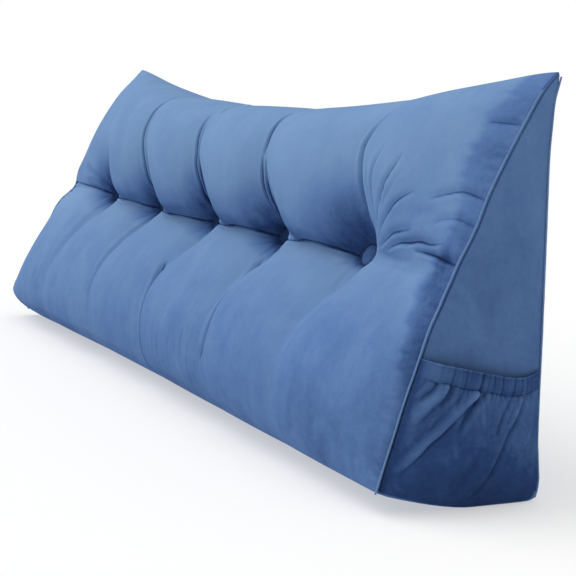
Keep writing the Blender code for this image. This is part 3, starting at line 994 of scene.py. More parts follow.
    def swell(self) -> None:
        """Let the filling push the cover out a little, as cloth under pressure that its seams and tufts hold."""
        mesh = self.obj.data
        start = points_of(mesh)
        held = self.obj.vertex_groups.new(name="held")
        for index, weight in enumerate(self.hold(mesh, start)):
            held.add([index], weight, "REPLACE")
        select_only(self.obj)
        cloth = self.obj.modifiers.new("filling", "CLOTH")
        cloth.settings.quality = 4
        cloth.settings.use_pressure = True
        cloth.settings.uniform_pressure_force = self.cloth_pressure
        cloth.settings.effector_weights.gravity = 0.0
        cloth.settings.vertex_group_mass = held.name
        for step in range(1, self.cloth_frames + 1):
            bpy.context.scene.frame_set(step)
        bpy.ops.object.modifier_apply(modifier=cloth.name)
        bpy.context.scene.frame_set(1)
        self.obj.vertex_groups.clear()
        moved = points_of(mesh) - start
        far = np.linalg.norm(moved, axis=1, keepdims=True)
        moved *= np.minimum(1.0, self.most_swell / np.maximum(far, 1e-9))
        moved[:, 2] *= unit(start[:, 2] / self.held_at_foot)
        LOG.info("cloth moved %.1f mm on average, %.1f at most", far.mean() * 1000, far.max() * 1000)
        set_points(mesh, start + moved)

    def hold(self, mesh: bpy.types.Mesh, points: Array) -> Array:
        """How firmly each vertex is held still: wholly at the seams, seats and where the pillow rests.

        Args:
            mesh: the cover.
            points: its vertices.

        Returns:
            One weight per vertex, from 0 to 1.
        """
        along, up = read_attribute(mesh, "along"), read_attribute(mesh, "up")
        gap = np.min(np.abs(self.form.gaps(along - self.crease_shift(along, up))), axis=1)
        at_tuft = bell(np.hypot(gap, up), self.held_at_tuft, 4)
        in_crease = 0.8 * bell(gap, self.held_in_crease) * (np.abs(up) < 0.24)
        in_row = bell(up, self.held_in_row)
        at_end = bell(self.form.half - np.abs(along), self.held_at_end)
        at_foot = unit((0.03 - points[:, 2]) / self.held_at_foot)
        behind = 0.6 * (up > OFF_FRONT / 2)
        return unit(np.maximum.reduce([at_tuft, in_crease, in_row, at_end, at_foot, behind]))

    def press_folds(self) -> None:
        """Press the creases of the real cover into the front."""
        mesh = self.obj.data
        places = np.stack([read_attribute(mesh, "along"), read_attribute(mesh, "up")], axis=-1)
        moved = pressed_by(self.folds, places)
        from_buttons = np.hypot(self.form.gaps(places[:, 0]), places[:, 1:])
        moved[np.min(from_buttons, axis=1) < self.seat_radius] = 0.0
        set_points(mesh, points_of(mesh) + normals_of(mesh) * moved[:, None])
        add_attribute(mesh, "pressed", moved)
        store_crease_shade_lines(mesh, places, self.crease_shade_lines)

    def shade_of_band(self, along: Array, up: Array) -> Array:
        """How much darker the colour is made in the band beside the right seam, with its ragged edge.

        Args:
            along: where the points lie along the cloth.
            up: how far up the cloth each lies.

        Returns:
            One shade per point.
        """
        heights, starts, shades = zip(*self.band)
        ragged = np.random.default_rng(4).normal(0.0, self.band_ragged, self.band_steps)
        start = np.interp(up, heights, starts) + np.interp(up, np.linspace(-0.3, 0.27, self.band_steps), ragged)
        into_band = (along - start) / self.band_edge
        solid = (1.0 - self.band_fringe) / (1.0 + np.exp(-4.0 * into_band))
        return np.interp(up, heights, shades) * (solid + self.band_fringe / (1.0 + np.exp(-1.5 * (into_band + 2.0))))

    def paint_shade(self) -> None:
        """Store the painted shade in tufts, low down, on sides and in folds, and the darker band by the right seam."""
        mesh = self.obj.data
        along, up = read_attribute(mesh, "along"), read_attribute(mesh, "up")
        normal, points = normals_of(mesh), points_of(mesh)
        in_front = up < OFF_FRONT / 2
        on_side = unit((np.abs(normal[:, 0]) - 0.5) / 0.3) * ~in_front
        at_side = on_side * np.interp(points[:, 2], *zip(*self.side_shade))
        at_right = self.shade_of_band(along, up) * in_front
        at_seam = np.interp(up, *zip(*self.seam_shade)) * in_front
        at_seam *= bell(np.abs(along) - self.form.half, self.seam_reach)
        facing_down = self.shade_facing_down * unit(-normal[:, 2] / 0.6)
        by_height = np.interp(up, *zip(*self.shade_by_height)) + np.where(up < 0, self.shade_to_right * along, 0.0)
        by_height += self.shade_at_right_end * unit((along - 0.50) / 0.12)
        gap = self.form.gaps(along - self.crease_shift(along, up))
        above, below = (np.array([getattr(tuft, name) for tuft in TUFTS]).T for name in ("dark_above", "dark_below"))
        high = up[:, None] > 0
        widths = np.where(gap < 0, np.where(high, above[0], below[0]), self.dark_right_of_tuft)
        far = (gap / widths) ** 2 + (up[:, None] / np.where(high, above[1], below[1])) ** 2
        in_tuft = np.max(np.array([tuft.shade for tuft in TUFTS]) * np.exp(-far), axis=1)
        # Painted shade: the darkest of these, darkened further in the troughs of folds and lightened on their lips
        shade = np.maximum.reduce([by_height, at_side, at_right, at_seam, facing_down, in_tuft])
        shade = shade - self.fold_shade * read_attribute(mesh, "pressed")
        add_attribute(mesh, "brushed", np.clip(shade, 0.0, self.finish.darkest))
        # A line of painted shade on the side panel beside the front seam
        shift = np.where(points[:, 0] < 0, on_curve(LEFT_SHIFT, points[:, 2]), 0.0)
        from_seam = points[:, 1] - self.form.front_seam(points[:, 2]) - shift
        add_attribute(mesh, "line_gap_3", from_seam - self.seam_line)
        add_attribute(mesh, "line_depth_3", self.seam_line_ink * on_side)

    def dress(self) -> None:
        """Dress the cover."""
        super().dress()


# Each crease is (path on the cloth, depth, width) in millimetres, and then as many of Fold's other values as it has
ROW_CREASES = (
    (((-750, 9), (-650, 5), (-560, 3), (-515, 1)), 2.6, 2.2, 0.7, 0.8),
    (((-490, -2), (-425, 1), (-350, 3), (-267, 0)), 2.8, 2, 0.9, 0.8),
    (((-241, -3), (-175, 0), (-100, 3), (-17, 0)), 3, 2, 0.9, 0.8),
    (((8, -3), (75, -1), (150, 3), (233, 0)), 3, 2, 0.9, 0.8),
    (((257, -4), (325, -1), (400, 3), (483, 0)), 2.8, 1.9, 0.9, 0.7),
    (((-480, -8), (-440, -7), (-390, -9)), 1.2, 2.6, 0.5),
    (((-225, -8), (-190, -6), (-140, -9)), 1.4, 2.6, 0.5),
    (((25, -9), (65, -7), (120, -9)), 1.6, 2.6, 0.5),
)
UPPER_CREASES = (
    (((-500, 18), (-502, 50), (-492, 85)), 1.2, 7, 0.9),
    (((-260, 20), (-259, 45), (-255, 80), (-255, 110), (-257, 135), (-256, 160), (-254, 185), (-248, 205),
      (-246, 230)), 3, 2.4, 0.6, 0.8),
    (((-14, 20), (-12, 45), (-4, 60), (-3, 80), (-3, 100), (-1, 120), (-4, 140), (-6, 160), (-5, 185)), 3.4, 2.4, 0.7),
    (((1, 50), (3, 65), (4, 85), (6, 103), (8, 122), (5, 142), (3, 165)), 2.6, 2.2, 0.2),
    (((28, 190), (24, 207), (28, 217), (32, 230)), 5.6, 3.8, 0.1, 1.0),
    (((247, 50), (245, 80), (246, 100), (246, 125)), 3, 2.2, 0.3),
    (((236, 24), (252, 45), (253, 60), (253, 80), (255, 100), (253, 120)), 2.8, 2.2, 0.5),
    (((247, 128), (248, 142), (246, 162), (246, 182), (249, 203)), 2.6, 2.4, 0.4),
)
LOWER_CREASES = (
    (((-502, -18), (-508, -70), (-506, -130), (-500, -200)), 1.2, 9, 0.9),
    (((-252, -18), (-256, -70), (-254, -130), (-248, -190), (-246, -262)), 1.6, 5, 0.9, 0.3),
    (((-12, -104), (-4, -124), (4, -145), (12, -180), (18, -215), (20, -250),
      (15, -290)), 6.2, 5.6, 0.0, 0.5, 0.0, 0.3, 1.4),
    (((255, -46), (262, -80), (264, -108), (271, -140), (280, -175), (278, -202),
      (267, -226)), 5, 4.8, 0.0, 0.0, 0.0, 0.3, 1.3),
    (((262, -203), (255, -225), (260, -252), (272, -287)), 2.8, 2.6, 0.0, 0.2),
)
SOFT_CREASES = (
    (((524, 20), (531, 49), (520, 80), (512, 105), (504, 136), (503, 155), (509, 178), (520, 202)), 2.8, 3, 0.8),
    (((560, 43), (552, 61), (543, 82), (539, 100), (538, 117), (543, 131), (551, 145)), 2.4, 3.4, 0.3),
    (((548, 55), (538, 75), (528, 98), (524, 120)), 1.8, 2.6),
    (((566, 40), (564, 60), (570, 84), (576, 102), (584, 117), (593, 136)), 3.4, 3.4, 0.4, 0.0, 0.2, 0.3, 0.6),
    (((572, 50), (578, 75), (587, 89), (595, 103), (610, 117)), 1.4, 2.4, 0.0, 0.0, 0.2),
    (((570, 30), (578, 45), (589, 59), (601, 73), (616, 83), (636, 92)), 3.2, 3.6, 0.5, 0.0, 0.3, 0.3, 0.6),
    (((574, 20), (591, 28), (606, 37), (623, 41), (644, 46)), 3.6, 4.6, 0.3, 0.0, 0.4, 0.2, 0.5),
    (((590, 15), (621, 26), (642, 29), (661, 33), (685, 33), (712, 38)), 5.2, 5, 0.0, 0.0, 0.5, 0.15, 0.7),
    (((655, 22), (678, 22), (702, 21), (726, 19), (749, 18)), 5.4, 4.8, 0.0, 0.4, 0.5, 0.15, 0.7),
    (((663, 85), (678, 91), (695, 97), (712, 102), (731, 101), (749, 99)), 3, 4.6, 0.0, 0.4, 0.4, 0.3, 0.5),
    (((680, 58), (695, 65), (716, 69), (734, 68), (749, 67)), 2, 4.6, 0.0, 0.4, 0.3),
    (((633, 61), (659, 68), (685, 74)), 1, 6, 0.0, 0.0, 0.3),
    (((567, 9), (616, 7), (657, 10)), 1.2, 6, 0.3, 0.0, 0.3),
    (((700, 192), (715, 194), (732, 196), (747, 199)), 2.8, 4, 0.0, 0.5, 0.3),
    (((705, 150), (728, 152), (747, 157)), 1.2, 3.6, 0.0, 0.5),
    (((-655, 44), (-600, 41), (-550, 33), (-515, 18)), 2.4, 8, 0.0, 0.6),
    (((-616, 23), (-560, 22), (-515, 12)), 1.4, 5, 0.0, 0.6),
)
WRINKLES = (
    (((88, -205), (86, -245), (89, -290)), 1.4, 2.2),
    (((112, -190), (108, -240), (110, -292)), 1.8, 2.4),
    (((131, -215), (130, -255), (134, -292)), 1.5, 2),
    (((158, -180), (153, -225), (155, -288)), 1.8, 2.4),
    (((182, -205), (178, -245), (181, -290)), 1.5, 2.2),
    (((205, -175), (200, -220), (203, -285)), 1.9, 2.4),
    (((226, -195), (222, -235), (226, -285)), 1.4, 2),
    (((-235, -200), (-230, -240), (-234, -285)), 0.8, 2.2),
    (((30, -225), (27, -255), (30, -290)), 0.8, 2.2),
)


def folds_of(table: tuple, **shared: float) -> list[Fold]:
    """Make the folds of a table.

    Args:
        table: the rows, in millimetres.
        shared: what all folds of the table have, apart from those whose row gives every value.

    Returns:
        The folds.
    """
    return [Fold(metres(path), depth / 1000, width / 1000, *more, **(shared if len(more) < 5 else {}))
            for path, depth, width, *more in table]


def gathered_round(buttons: Array, seed: int = 5) -> list[Fold]:
    """Short creases that fan out round each button, each a little different.

    Args:
        buttons: where the buttons are along the cloth.
        seed: starts the same list of lengths and turns each time.

    Returns:
        The creases.
    """
    rng = np.random.default_rng(seed)
    folds, count, rim = [], 11, 0.019
    for place in buttons:
        for step in range(count):
            turn = 2 * math.pi * (step + rng.uniform(-0.28, 0.28)) / count
            reach, bend, depth = rng.uniform(0.038, 0.062), rng.uniform(-0.25, 0.25), rng.uniform(0.0004, 0.0011)
            if place > 0.4 and math.cos(turn) > 0.1:
                continue  # the end folds are there
            path = tuple((place + far * math.cos(turn + bend * share), far * math.sin(turn + bend * share))
                         for share, far in ((0.0, rim), (0.5, rim + reach * 0.45), (1.0, reach)))
            folds.append(Fold(path, depth, width=0.0036, start=0.9))
    return folds


def puckered_seams(half: float, seed: int = 8) -> list[Fold]:
    """Small puckers that the stitches draw up beside both end seams of the front.

    Args:
        half: where the seams are along the cloth.
        seed: starts the same list of lengths and depths each time.

    Returns:
        The puckers.
    """
    rng = np.random.default_rng(seed)
    folds = []
    for side in Side:
        up = -0.285
        while up < 0.26:
            reach, lean = rng.uniform(0.010, 0.026), rng.uniform(-0.006, 0.006)
            path = tuple((side.value * (half - reach * share), up + lean * share) for share in (0.0, 0.5, 1.0))
            folds.append(Fold(path, depth=rng.uniform(0.0004, 0.0013), width=rng.uniform(0.0022, 0.0034), start=0.8))
            up += rng.uniform(0.009, 0.020)
    return folds


def cover_folds(form: PillowForm) -> tuple[tuple[Fold, ...], tuple[tuple[Fold, ...], ...]]:
    """Gather the creases of the cover's front.

    Args:
        form: the shape that the cover follows.

    Returns:
        All the creases, and those that get a line of painted shade along their bottom, in sets that lie apart.
    """
    placed = folds_of(ROW_CREASES, lip=0.1) + folds_of(UPPER_CREASES + LOWER_CREASES) + folds_of(WRINKLES, end=0.3)
    # The soft creases get fainter lines of painted shade
    placed += folds_of(SOFT_CREASES, ink=0.35)
    sharp = [fold for fold in placed if abs(fold.depth) >= 0.0020 and fold.width < 0.0060]
    sets = tuple(tuple(sharp[number::3]) for number in range(3))
    return tuple(placed + gathered_round(form.button_places()) + puckered_seams(form.half)), sets


@dataclass
class Button(Piece):
    """A cloth-covered button in its tuft."""

    slot = "face_velvet"
    number: int
    radius: float = 0.015
    half_thickness: float = BUTTON_HALF_THICKNESS
    pleats: int = 9
    pleat_depth: float = 0.0004
    # Painted shade on the buttons, darker on those hidden in the dark of their tufts than on the one in view
    shade: float = 1.45
    shade_in_view: float = 0.85

    @property
    def node(self) -> str:
        """The CAD node that this button stands for."""
        return f"button_{self.number}"

    @property
    def name(self) -> str:
        """The name of this button's object."""
        return f"covered_{self.node}"

    def build(self) -> None:
        """Make the domed button, pleated where its cloth turns under."""
        low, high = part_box(self.node)
        bpy.ops.object.select_all(action="DESELECT")
        bpy.ops.mesh.primitive_uv_sphere_add(segments=48, ring_count=24, radius=1.0)
        points = self.take_primitive()
        mesh = self.obj.data
        out, angle = np.hypot(points[:, 0], points[:, 1]), np.arctan2(points[:, 1], points[:, 0])
        pleat = 1.0 - self.pleat_depth / self.radius * (1.0 + np.cos(self.pleats * angle + self.number)) * out**6
        points[:, :2] *= (self.radius * pleat)[:, None]
        points[:, 2] *= self.half_thickness
        set_points(mesh, points)
        facing = Vector(self.form.outward).to_track_quat("Z", "Y").to_matrix().to_4x4()
        mesh.transform(Matrix.Translation((low + high) / 2) @ facing)
        mesh.shade_smooth()
        # Painted shade, less on the button in view
        shade = self.shade_in_view if self.number == self.form.button_count else self.shade
        add_attribute(mesh, "brushed", np.full(len(mesh.vertices), shade))


@dataclass
class Piping(Piece):
    """A narrow covered cord, sewn into one seam of a side panel."""

    slot = "side_velvet"
    side: Side
    seam: Seam
    radius: float = 0.0012
    sunk: float = 0.0004
    steps: int = 260
    turn_steps: int = 16
    corner_inset: float = 0.0018
    sides: int = 12
    pucker: float = 0.10
    # Painted shade that darkens the cord
    shade: float = 0.22

    @property
    def node(self) -> str:
        """The CAD node that this cord stands for."""
        return f"piping_{self.seam.value}_{self.side.name.lower()}"

    @property
    def name(self) -> str:
        """The name of this cord's object."""
        return self.node.replace("piping", "cord")

    def path(self) -> Array:
        """Follow the seam.

        Returns:
            Points along the middle of the cord, up the front or down the back.
        """
        x = np.full(self.steps, self.side.value * self.form.half)
        if self.seam is Seam.FRONT:
            line = self.form.face(x, np.linspace(0.0, LAST_ROW - 1.0, self.steps))
            away = np.array([self.side.value, -0.9, 0.2])
        else:
            share = np.linspace(BACK_ROWS[-1][0], BACK_ROWS[0][0], self.steps - self.turn_steps)
            line = self.form.back(x[self.turn_steps:], share, np.full(len(share), self.form.corner_height))
            foot_x = line[-1][0] - self.side.value * self.corner_inset
            foot = np.array([line[-1], *[(foot_x, y - self.corner_inset, z) for y, z in BACK_EDGE[:2]]])
            line = np.concatenate([line, smooth_read(foot, np.linspace(0.0, 2.0, self.turn_steps + 1)[1:])])
            away = np.array([self.side.value, 0.45, 0.0])
        return line + away / np.linalg.norm(away) * (self.radius - self.sunk)

    def build(self) -> None:
        """Make the cord as a tube, puckered a little by its stitches."""
        line = self.path()
        bpy.ops.object.select_all(action="DESELECT")
        bpy.ops.mesh.primitive_cylinder_add(vertices=self.sides, radius=1.0, depth=2.0, end_fill_type="NGON")
        self.take_primitive()
        bpy.ops.object.mode_set(mode="EDIT")
        bpy.ops.mesh.select_all(action="SELECT")
        bpy.ops.mesh.bisect(plane_co=(0.0, 0.0, 0.0), plane_no=(0.0, 0.0, 1.0))
        bpy.ops.object.mode_set(mode="OBJECT")
        mesh = self.obj.data
        bm = bmesh.new()
        bm.from_mesh(mesh)
        long_edges = [edge for edge in bm.edges if abs(edge.verts[0].co.z - edge.verts[1].co.z) > 0.5]
        bmesh.ops.subdivide_edges(bm, edges=long_edges, cuts=(self.steps - 3) // 2, use_grid_fill=True)
        bm.to_mesh(mesh)
        bm.free()
        points = points_of(mesh)
        place, steps = (points[:, 2] + 1) / 2 * (self.steps - 1), np.arange(self.steps)
        slope = np.gradient(line, axis=0)
        middle, tangent = (np.stack([np.interp(place, steps, column) for column in table.T], axis=-1)
                           for table in (line, slope))
        tangent /= np.linalg.norm(tangent, axis=-1, keepdims=True)
        across = np.cross(tangent, np.array([1.0, 0.0, 0.0]))
        across /= np.linalg.norm(across, axis=-1, keepdims=True)
        noise = np.random.default_rng(11).normal(size=self.steps + 8)
        pucker = np.convolve(noise, np.ones(5) / 5, "same")[4:-4]
        ring = points[:, :2] * (self.radius * (1.0 + self.pucker * np.interp(place, steps, pucker)))[:, None]
        sideways = np.cross(across, tangent)
        set_points(mesh, middle + across * ring[:, :1] + sideways * ring[:, 1:] + np.array(PLACE))
        bpy.ops.object.mode_set(mode="EDIT")
        bpy.ops.mesh.select_all(action="SELECT")
        bpy.ops.mesh.normals_make_consistent(inside=False)
        bpy.ops.object.mode_set(mode="OBJECT")
        mesh.shade_smooth()
        # Painted shade on the cord
        add_attribute(mesh, "brushed", np.full(len(mesh.vertices), self.shade))


# The pocket's upper edge, as (share of the way from front to back, height)
HEM = (
    (0.0, 0.1772), (0.13, 0.1722), (0.25, 0.1682), (0.44, 0.1620), (0.62, 0.1563), (0.74, 0.1525), (0.84, 0.1513),
    (0.92, 0.1528), (1.0, 0.1565),
)

# The valleys between the ruffles of the elastic casing, as (share of the way from front to back, depth)
RUFFLES = (
    (0.065, 0.3), (0.16, 0.4), (0.20, 0.25), (0.253, 0.9), (0.287, 0.4), (0.326, 0.4), (0.36, 0.7), (0.395, 0.5),
    (0.426, 0.35), (0.484, 1.7), (0.536, 0.6), (0.59, 0.7), (0.626, 0.35), (0.665, 1.0), (0.696, 0.4), (0.762, 1.0),
    (0.832, 0.6), (0.885, 0.8), (0.923, 1.0), (0.95, 0.6),
)

# The pocket's gathers on (y, z), in the same form as the cover's creases
POCKET_FOLDS = (
    (((12, 139), (-6.6, 127.1), (-26.2, 111.6), (-41.4, 99), (-54.9, 88.2), (-66.3, 74.7), (-79.2, 60.8),
      (-89.9, 48.9)), -4, 3.4, 0.9, 0.0, -0.3),
    (((18, 134), (-2.5, 119.2), (-12.8, 106.6), (-18.6, 97.3)), 3.6, 3.4, 0.9),
    (((-28.5, 149), (-37.1, 138.8), (-50.2, 128.5), (-64.3, 115.3), (-72.7, 106.3)), -3.6, 4.4, 0.9, 0.0, -0.2),
    (((-41, 149), (-45.5, 143), (-55.2, 135.9), (-64.2, 127.2)), 2.2, 3, 0.8),
    (((-22.5, 146), (-24.9, 138.3), (-33.7, 130.1), (-39.2, 122.8)), 2.6, 2.8, 0.8),
    (((-45.6, 114.4), (-50.5, 107), (-55.7, 100.4)), -1, 1.8),
    (((76.5, 127), (67, 112.5), (49.4, 90.9), (40.3, 76), (33.5, 61.2), (26.1, 43.5), (18.1, 28.8),
      (9.7, 16)), 2.8, 3, 0.6, 0.3, 0.2),
    (((72.5, 127), (62, 111), (50, 96)), -2.2, 3, 0.8),
    (((51, 129), (51, 121.7), (41.9, 109.4), (33.2, 95.8), (31.2, 88.3)), 2.2, 2.8, 0.7),
    (((90.5, 125), (86.8, 96.4), (79, 81.6), (66.3, 66.8)), -1.2, 1.8, 0.7),
    (((14.7, 130), (14.2, 110), (13.5, 95.4)), -1.4, 2, 0.8),
    (((-24.1, 85.5), (-23.2, 75), (-22.6, 65.7)), -0.8, 2),
    (((12, 80), (0, 55), (-12, 30)), 1.4, 5.4),
    (((-91, 39.5), (-82, 33.1), (-71.7, 27.6)), -1.4, 2),
    (((-0.4, 25.3), (-3.5, 21), (-6.7, 16.2)), -1.2, 1.8, 0.0, 0.5),
    (((18.2, 22.2), (15, 18), (12.3, 13.1)), -1.2, 1.8, 0.0, 0.5),
)


def gathered_below(stitches: float, seed: int = 21) -> list[Fold]:
    """The short pleats that start at the valleys of the casing and fan out down the pocket.

    Args:
        stitches: how far below the hem the casing's stitches run.
        seed: starts the same list of lengths each time.

    Returns:
        The pleats, on (y, z).
    """
    rng = np.random.default_rng(seed)
    folds, front, length = [], -0.062, 0.158
    for across, depth in RUFFLES:
        y = front + length * across
        z = float(np.interp(across, *zip(*HEM))) - stitches
        reach = rng.uniform(0.008, 0.020)
        lean = -0.9 + 0.65 * across + rng.uniform(-0.12, 0.12)
        path = tuple((y + reach * share * lean, z + 0.002 - reach * share) for share in (0.0, 0.5, 1.0))
        folds.append(Fold(path, 0.0006 + 0.0012 * depth, 0.0020, start=1.0))
    return folds


@dataclass
class SidePocket(Piece):
    """The gathered pocket on the right side panel, one sheet of cloth with its ruffled elastic casing."""

    name = "gathered_pocket"
    node = "side_pocket"
    slot = "side_velvet"
    columns: int = 210
    rows: int = 108
    thickness: float = 0.0015
    clearance: float = 0.0003
    corner: float = 0.012
    casing: float = 0.0222
    margin: float = 0.0030
    mouth_gap: float = 0.0105
    belly_depth: float = 0.015
    ruffle_depth: float = 0.0027
    ruffle_width: float = 0.013
    stitch_depth: float = 0.0022
    stitch_width: float = 0.0016
    stitch_wander: float = 0.0007
    hem_roll: float = 0.0012
    # A painted highlight along the top of the hem
    hem_line: float = 0.0050
    casing_puff: float = 0.0016
    # Painted shade by the front seam, in the folds, over the pocket, at the foot and on the casing, and painted light
    # at the left
    painted_shade_at_front: float = 0.005
    fold_shade: float = 60.0
    shade: float = 0.74
    shade_at_foot: float = 0.42
    painted_light_at_left: float = 0.12
    shade_of_casing: float = 0.34

    def foot(self, y: Array) -> Array:
        """Height of the bottom edge, just above the curve of the bottom seam.

        Args:
            y: where its points lie from front to back.

        Returns:
            One height per point.
        """
        form = self.form
        share = np.maximum(0.0, (form.flat_front_at_side - y) / (form.flat_front_at_side - SEAM[0, 0]))
        into_corner = np.clip((y - BACK_ROWS[0][1] + self.margin) / self.corner + 1.0, 0.0, 0.99)
        rounded = self.corner * (1.0 - np.sqrt(1.0 - into_corner**2))
        return self.clearance * 10 + form.lift_right * share**form.front_rise_power + rounded

    def ruffles(self, across: Array) -> Array:
        """How deep the valleys between the casing's ruffles are, at most about -1.7."""
        return -sum(depth * bell(np.abs(across - place), self.ruffle_width, 1.5) for place, depth in RUFFLES)

    def points(self, across: Array, up: Array) -> tuple[Array, Array]:
        """Points of the sheet's inner side.

        Args:
            across: from 0 at the front to 1 at the back.
            up: from 0 at the foot to 1 at the hem.

        Returns:
            The points, with a last axis of x, y and z, and how far folds lift each, with a painted highlight along the
            hem and painted shade by the front seam added.
        """
        form = self.form
        hem = on_curve(HEM, across)
        front, back = form.front_seam(hem * up), form.back_seam(hem * up)
        foot = self.foot(front + (back - front) * across)
        casing_start = 1.0 - self.casing / hem
        in_casing = unit((up - casing_start) / (1.0 - casing_start))
        ruffle = self.ruffles(across + 0.008 * in_casing * np.sin(23.0 * across))
        z = foot + (hem - foot) * up + 0.0005 * ruffle * unit((up - 0.96) / 0.04)
        front, back = form.front_seam(z) + self.margin, form.back_seam(z) - self.margin
        y = front + (back - front) * across
        hold = np.sin(math.pi * across) ** 0.5
        below = np.minimum(1.0, up / casing_start)
        belly = np.sin(math.pi * below**0.85)
        stand = hold * (self.mouth_gap * np.minimum(1.0, up * 2.0) + self.belly_depth * belly)
        wave = ruffle * self.ruffle_depth * np.where(up > casing_start, 1.0, 0.85 * np.exp(-(1.0 - below) / 0.06))
        wander = self.stitch_wander * np.sin(61.0 * across) * np.sin(23.0 * across + 1.0)
        tight = 0.65 + 0.35 * np.sin(97.0 * across) * np.sin(41.0 * across + 1.0)
        stitch = self.stitch_depth * tight * bell((up - casing_start) * hem + wander, self.stitch_width)
        rolled = self.hem_roll * bell((1.0 - up) * hem, self.stitch_width)
        puff = self.casing_puff * np.sin(math.pi * in_casing)
        gathers = tuple(folds_of(POCKET_FOLDS) + gathered_below(self.casing))
        folds = pressed_by(gathers, np.stack([y, z], axis=-1))
        edge = unit(np.minimum(across, 1.0 - across) / 0.03) * unit(up / 0.05)
        lift_and_shade = (wave + rolled + puff - stitch) * np.minimum(1.0, hold * 1.5) + folds * edge * (up < casing_start)
        x = form.side_panel_x(y, z) + self.clearance * 2 + np.maximum(0.0, stand + lift_and_shade)
        # A painted highlight along the hem and painted shade by the front seam, for the colour only
        lift_and_shade = lift_and_shade + self.hem_line * tight * bell((1.0 - up) * hem, 0.0013)
        lift_and_shade = lift_and_shade - self.painted_shade_at_front * bell(across, 0.03)
        return np.stack([x, y, z], axis=-1), lift_and_shade

    def build(self) -> None:
        """Make the sheet and give it its thickness."""
        bpy.ops.object.select_all(action="DESELECT")
        bpy.ops.mesh.primitive_grid_add(x_subdivisions=self.columns, y_subdivisions=self.rows, size=2.0)
        across, up = (self.take_primitive()[:, :2].T + 1) / 2
        up = np.interp(up, (0.0, 0.62, 1.0), (0.0, 0.80, 1.0))
        points, lift_and_shade = self.points(across, up)
        set_points(self.obj.data, points + np.array(PLACE))
        # Painted shade, darker towards the foot and towards the back of the casing, painted light at the left, painted
        # shade in the troughs of the folds and painted highlight on their ridges
        at_foot, at_left = (1.0 - up) ** 1.5, np.maximum(0.0, 1.0 - across / 0.4)
        shade = self.shade + self.shade_at_foot * at_foot - self.painted_light_at_left * at_left
        shade += self.shade_of_casing * (up > 0.86) * (across - 0.10)
        add_attribute(self.obj.data, "brushed", np.clip(shade - self.fold_shade * lift_and_shade, 0.0, self.finish.darkest))
        apply_modifier(self.obj, "SOLIDIFY", thickness=self.thickness, offset=1.0)
        self.obj.data.shade_smooth()

    def dress(self) -> None:
        """Dress the pocket."""
        super().dress()


@dataclass(frozen=True)
class PhotoCamera:
    """The photograph's camera, in the form's own frame."""

    location: tuple[float, float, float] = (2.146, -0.883, 0.468)
    yaw: float = math.radians(64.73)
    pitch: float = math.radians(7.62)
    roll: float = math.radians(1.96)
    lens: float = 92.06
    sensor: float = 36.0

    def add(self) -> None:
        """Add the camera and look through it."""
        level, drop = math.cos(self.pitch), -math.sin(self.pitch)
        forward = Vector((-math.sin(self.yaw) * level, math.cos(self.yaw) * level, drop))
        level_right = forward.cross(Vector((0.0, 0.0, 1.0))).normalized()
        level_up = level_right.cross(forward)
        right = math.cos(self.roll) * level_right + math.sin(self.roll) * level_up
        up = math.cos(self.roll) * level_up - math.sin(self.roll) * level_right
        data = bpy.data.cameras.new("photo_camera")
        data.sensor_width, data.lens = self.sensor, self.lens
        camera = bpy.data.objects.new("photo_camera", data)
        turned = Matrix((right, up, -forward)).transposed().to_4x4()
        camera.matrix_world = Matrix.Translation(Vector(self.location) + PLACE) @ turned
        bpy.context.scene.collection.objects.link(camera)
        bpy.context.scene.camera = camera


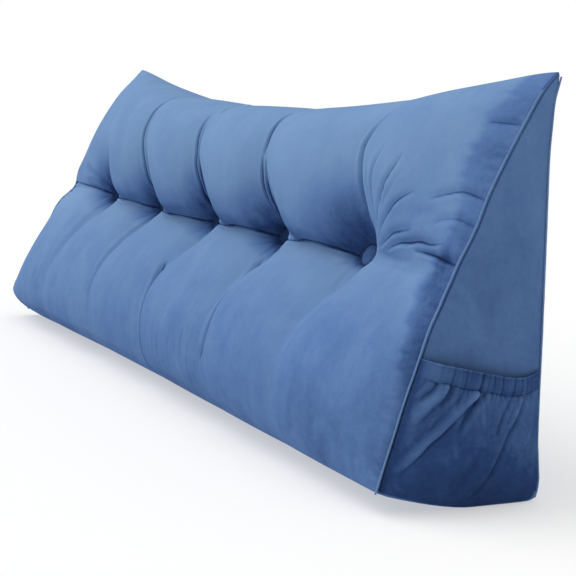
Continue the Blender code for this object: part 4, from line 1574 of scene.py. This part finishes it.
@dataclass(frozen=True)
class Studio:
    """A plain pale floor, a bright horizon, and one soft light from the front, above and the left."""

    floor_size: float = 30.0
    floor_colour: float = 0.44
    floor_glow: float = 0.47
    sky: Pairs = ((0.0, 0.655), (0.07, 0.655), (0.13, 0.12), (0.50, 0.16), (0.82, 0.70), (1.0, 0.90))
    sky_strength: float = 1.55
    key_strength: float = 1.9
    key_width: float = math.radians(60.0)
    key_from: tuple[float, float, float] = (-0.50, -0.58, 0.66)

    def build(self) -> None:
        """Lay the floor, set the lights and show pictures in plain sRGB."""
        bpy.ops.object.select_all(action="DESELECT")
        bpy.ops.mesh.primitive_plane_add(size=self.floor_size)
        floor = bpy.context.object
        floor.name = "studio_floor"
        paper = bpy.data.materials.new("studio_paper")
        graph = Graph(paper)
        graph.feed(graph.nodes["Principled BSDF"], Base_Color=(*[self.floor_colour] * 3, 1.0), Roughness=0.9,
                   Emission_Color=(1.0, 1.0, 1.0, 1.0), Emission_Strength=self.floor_glow)
        floor.data.materials.append(paper)
        self.add_key()
        self.add_sky()
        bpy.context.scene.view_settings.view_transform = "Standard"

    def add_key(self) -> None:
        """Add the soft light."""
        light = bpy.data.lights.new("key", "SUN")
        light.energy, light.angle = self.key_strength, self.key_width
        key = bpy.data.objects.new("key", light)
        key.rotation_euler = (-Vector(self.key_from)).to_track_quat("-Z", "Y").to_euler()
        bpy.context.scene.collection.objects.link(key)

    def add_sky(self) -> None:
        """Give the room a white horizon, dim walls and a broad pale light overhead."""
        world = bpy.data.worlds.new("studio_world")
        graph = Graph(world)
        split = graph.add("SeparateXYZ", Vector=graph.add("TexCoord").outputs["Generated"])
        bright = graph.ramp(split.outputs["Z"], [(height, *[light] * 3) for height, light in self.sky], "EASE")
        graph.feed(graph.nodes["Background"], Color=bright, Strength=self.sky_strength)
        bpy.context.scene.world = world


def main() -> None:
    """Build and dress every piece, then light the scene."""
    logging.basicConfig(level=logging.INFO)
    velvet = Velvet("blue_velvet", lit=(0.171, 0.287, 0.474), half_shaded=(0.090, 0.172, 0.364),
                    shaded=(0.026, 0.060, 0.170), deep=(0.010, 0.021, 0.062))
    pieces = [Cover(FORM, velvet, *cover_folds(FORM))]
    pieces += [Button(FORM, velvet, number + 1) for number in range(FORM.button_count)]
    pieces += [Piping(FORM, velvet, side, seam) for side in Side for seam in Seam]
    pieces.append(SidePocket(FORM, velvet))
    for piece in pieces:
        piece.build()
        piece.dress()
        LOG.info("%s: %d faces", piece.obj.name, len(piece.obj.data.polygons))
    Studio().build()
    PhotoCamera().add()


if __name__ == "__main__":
    main()
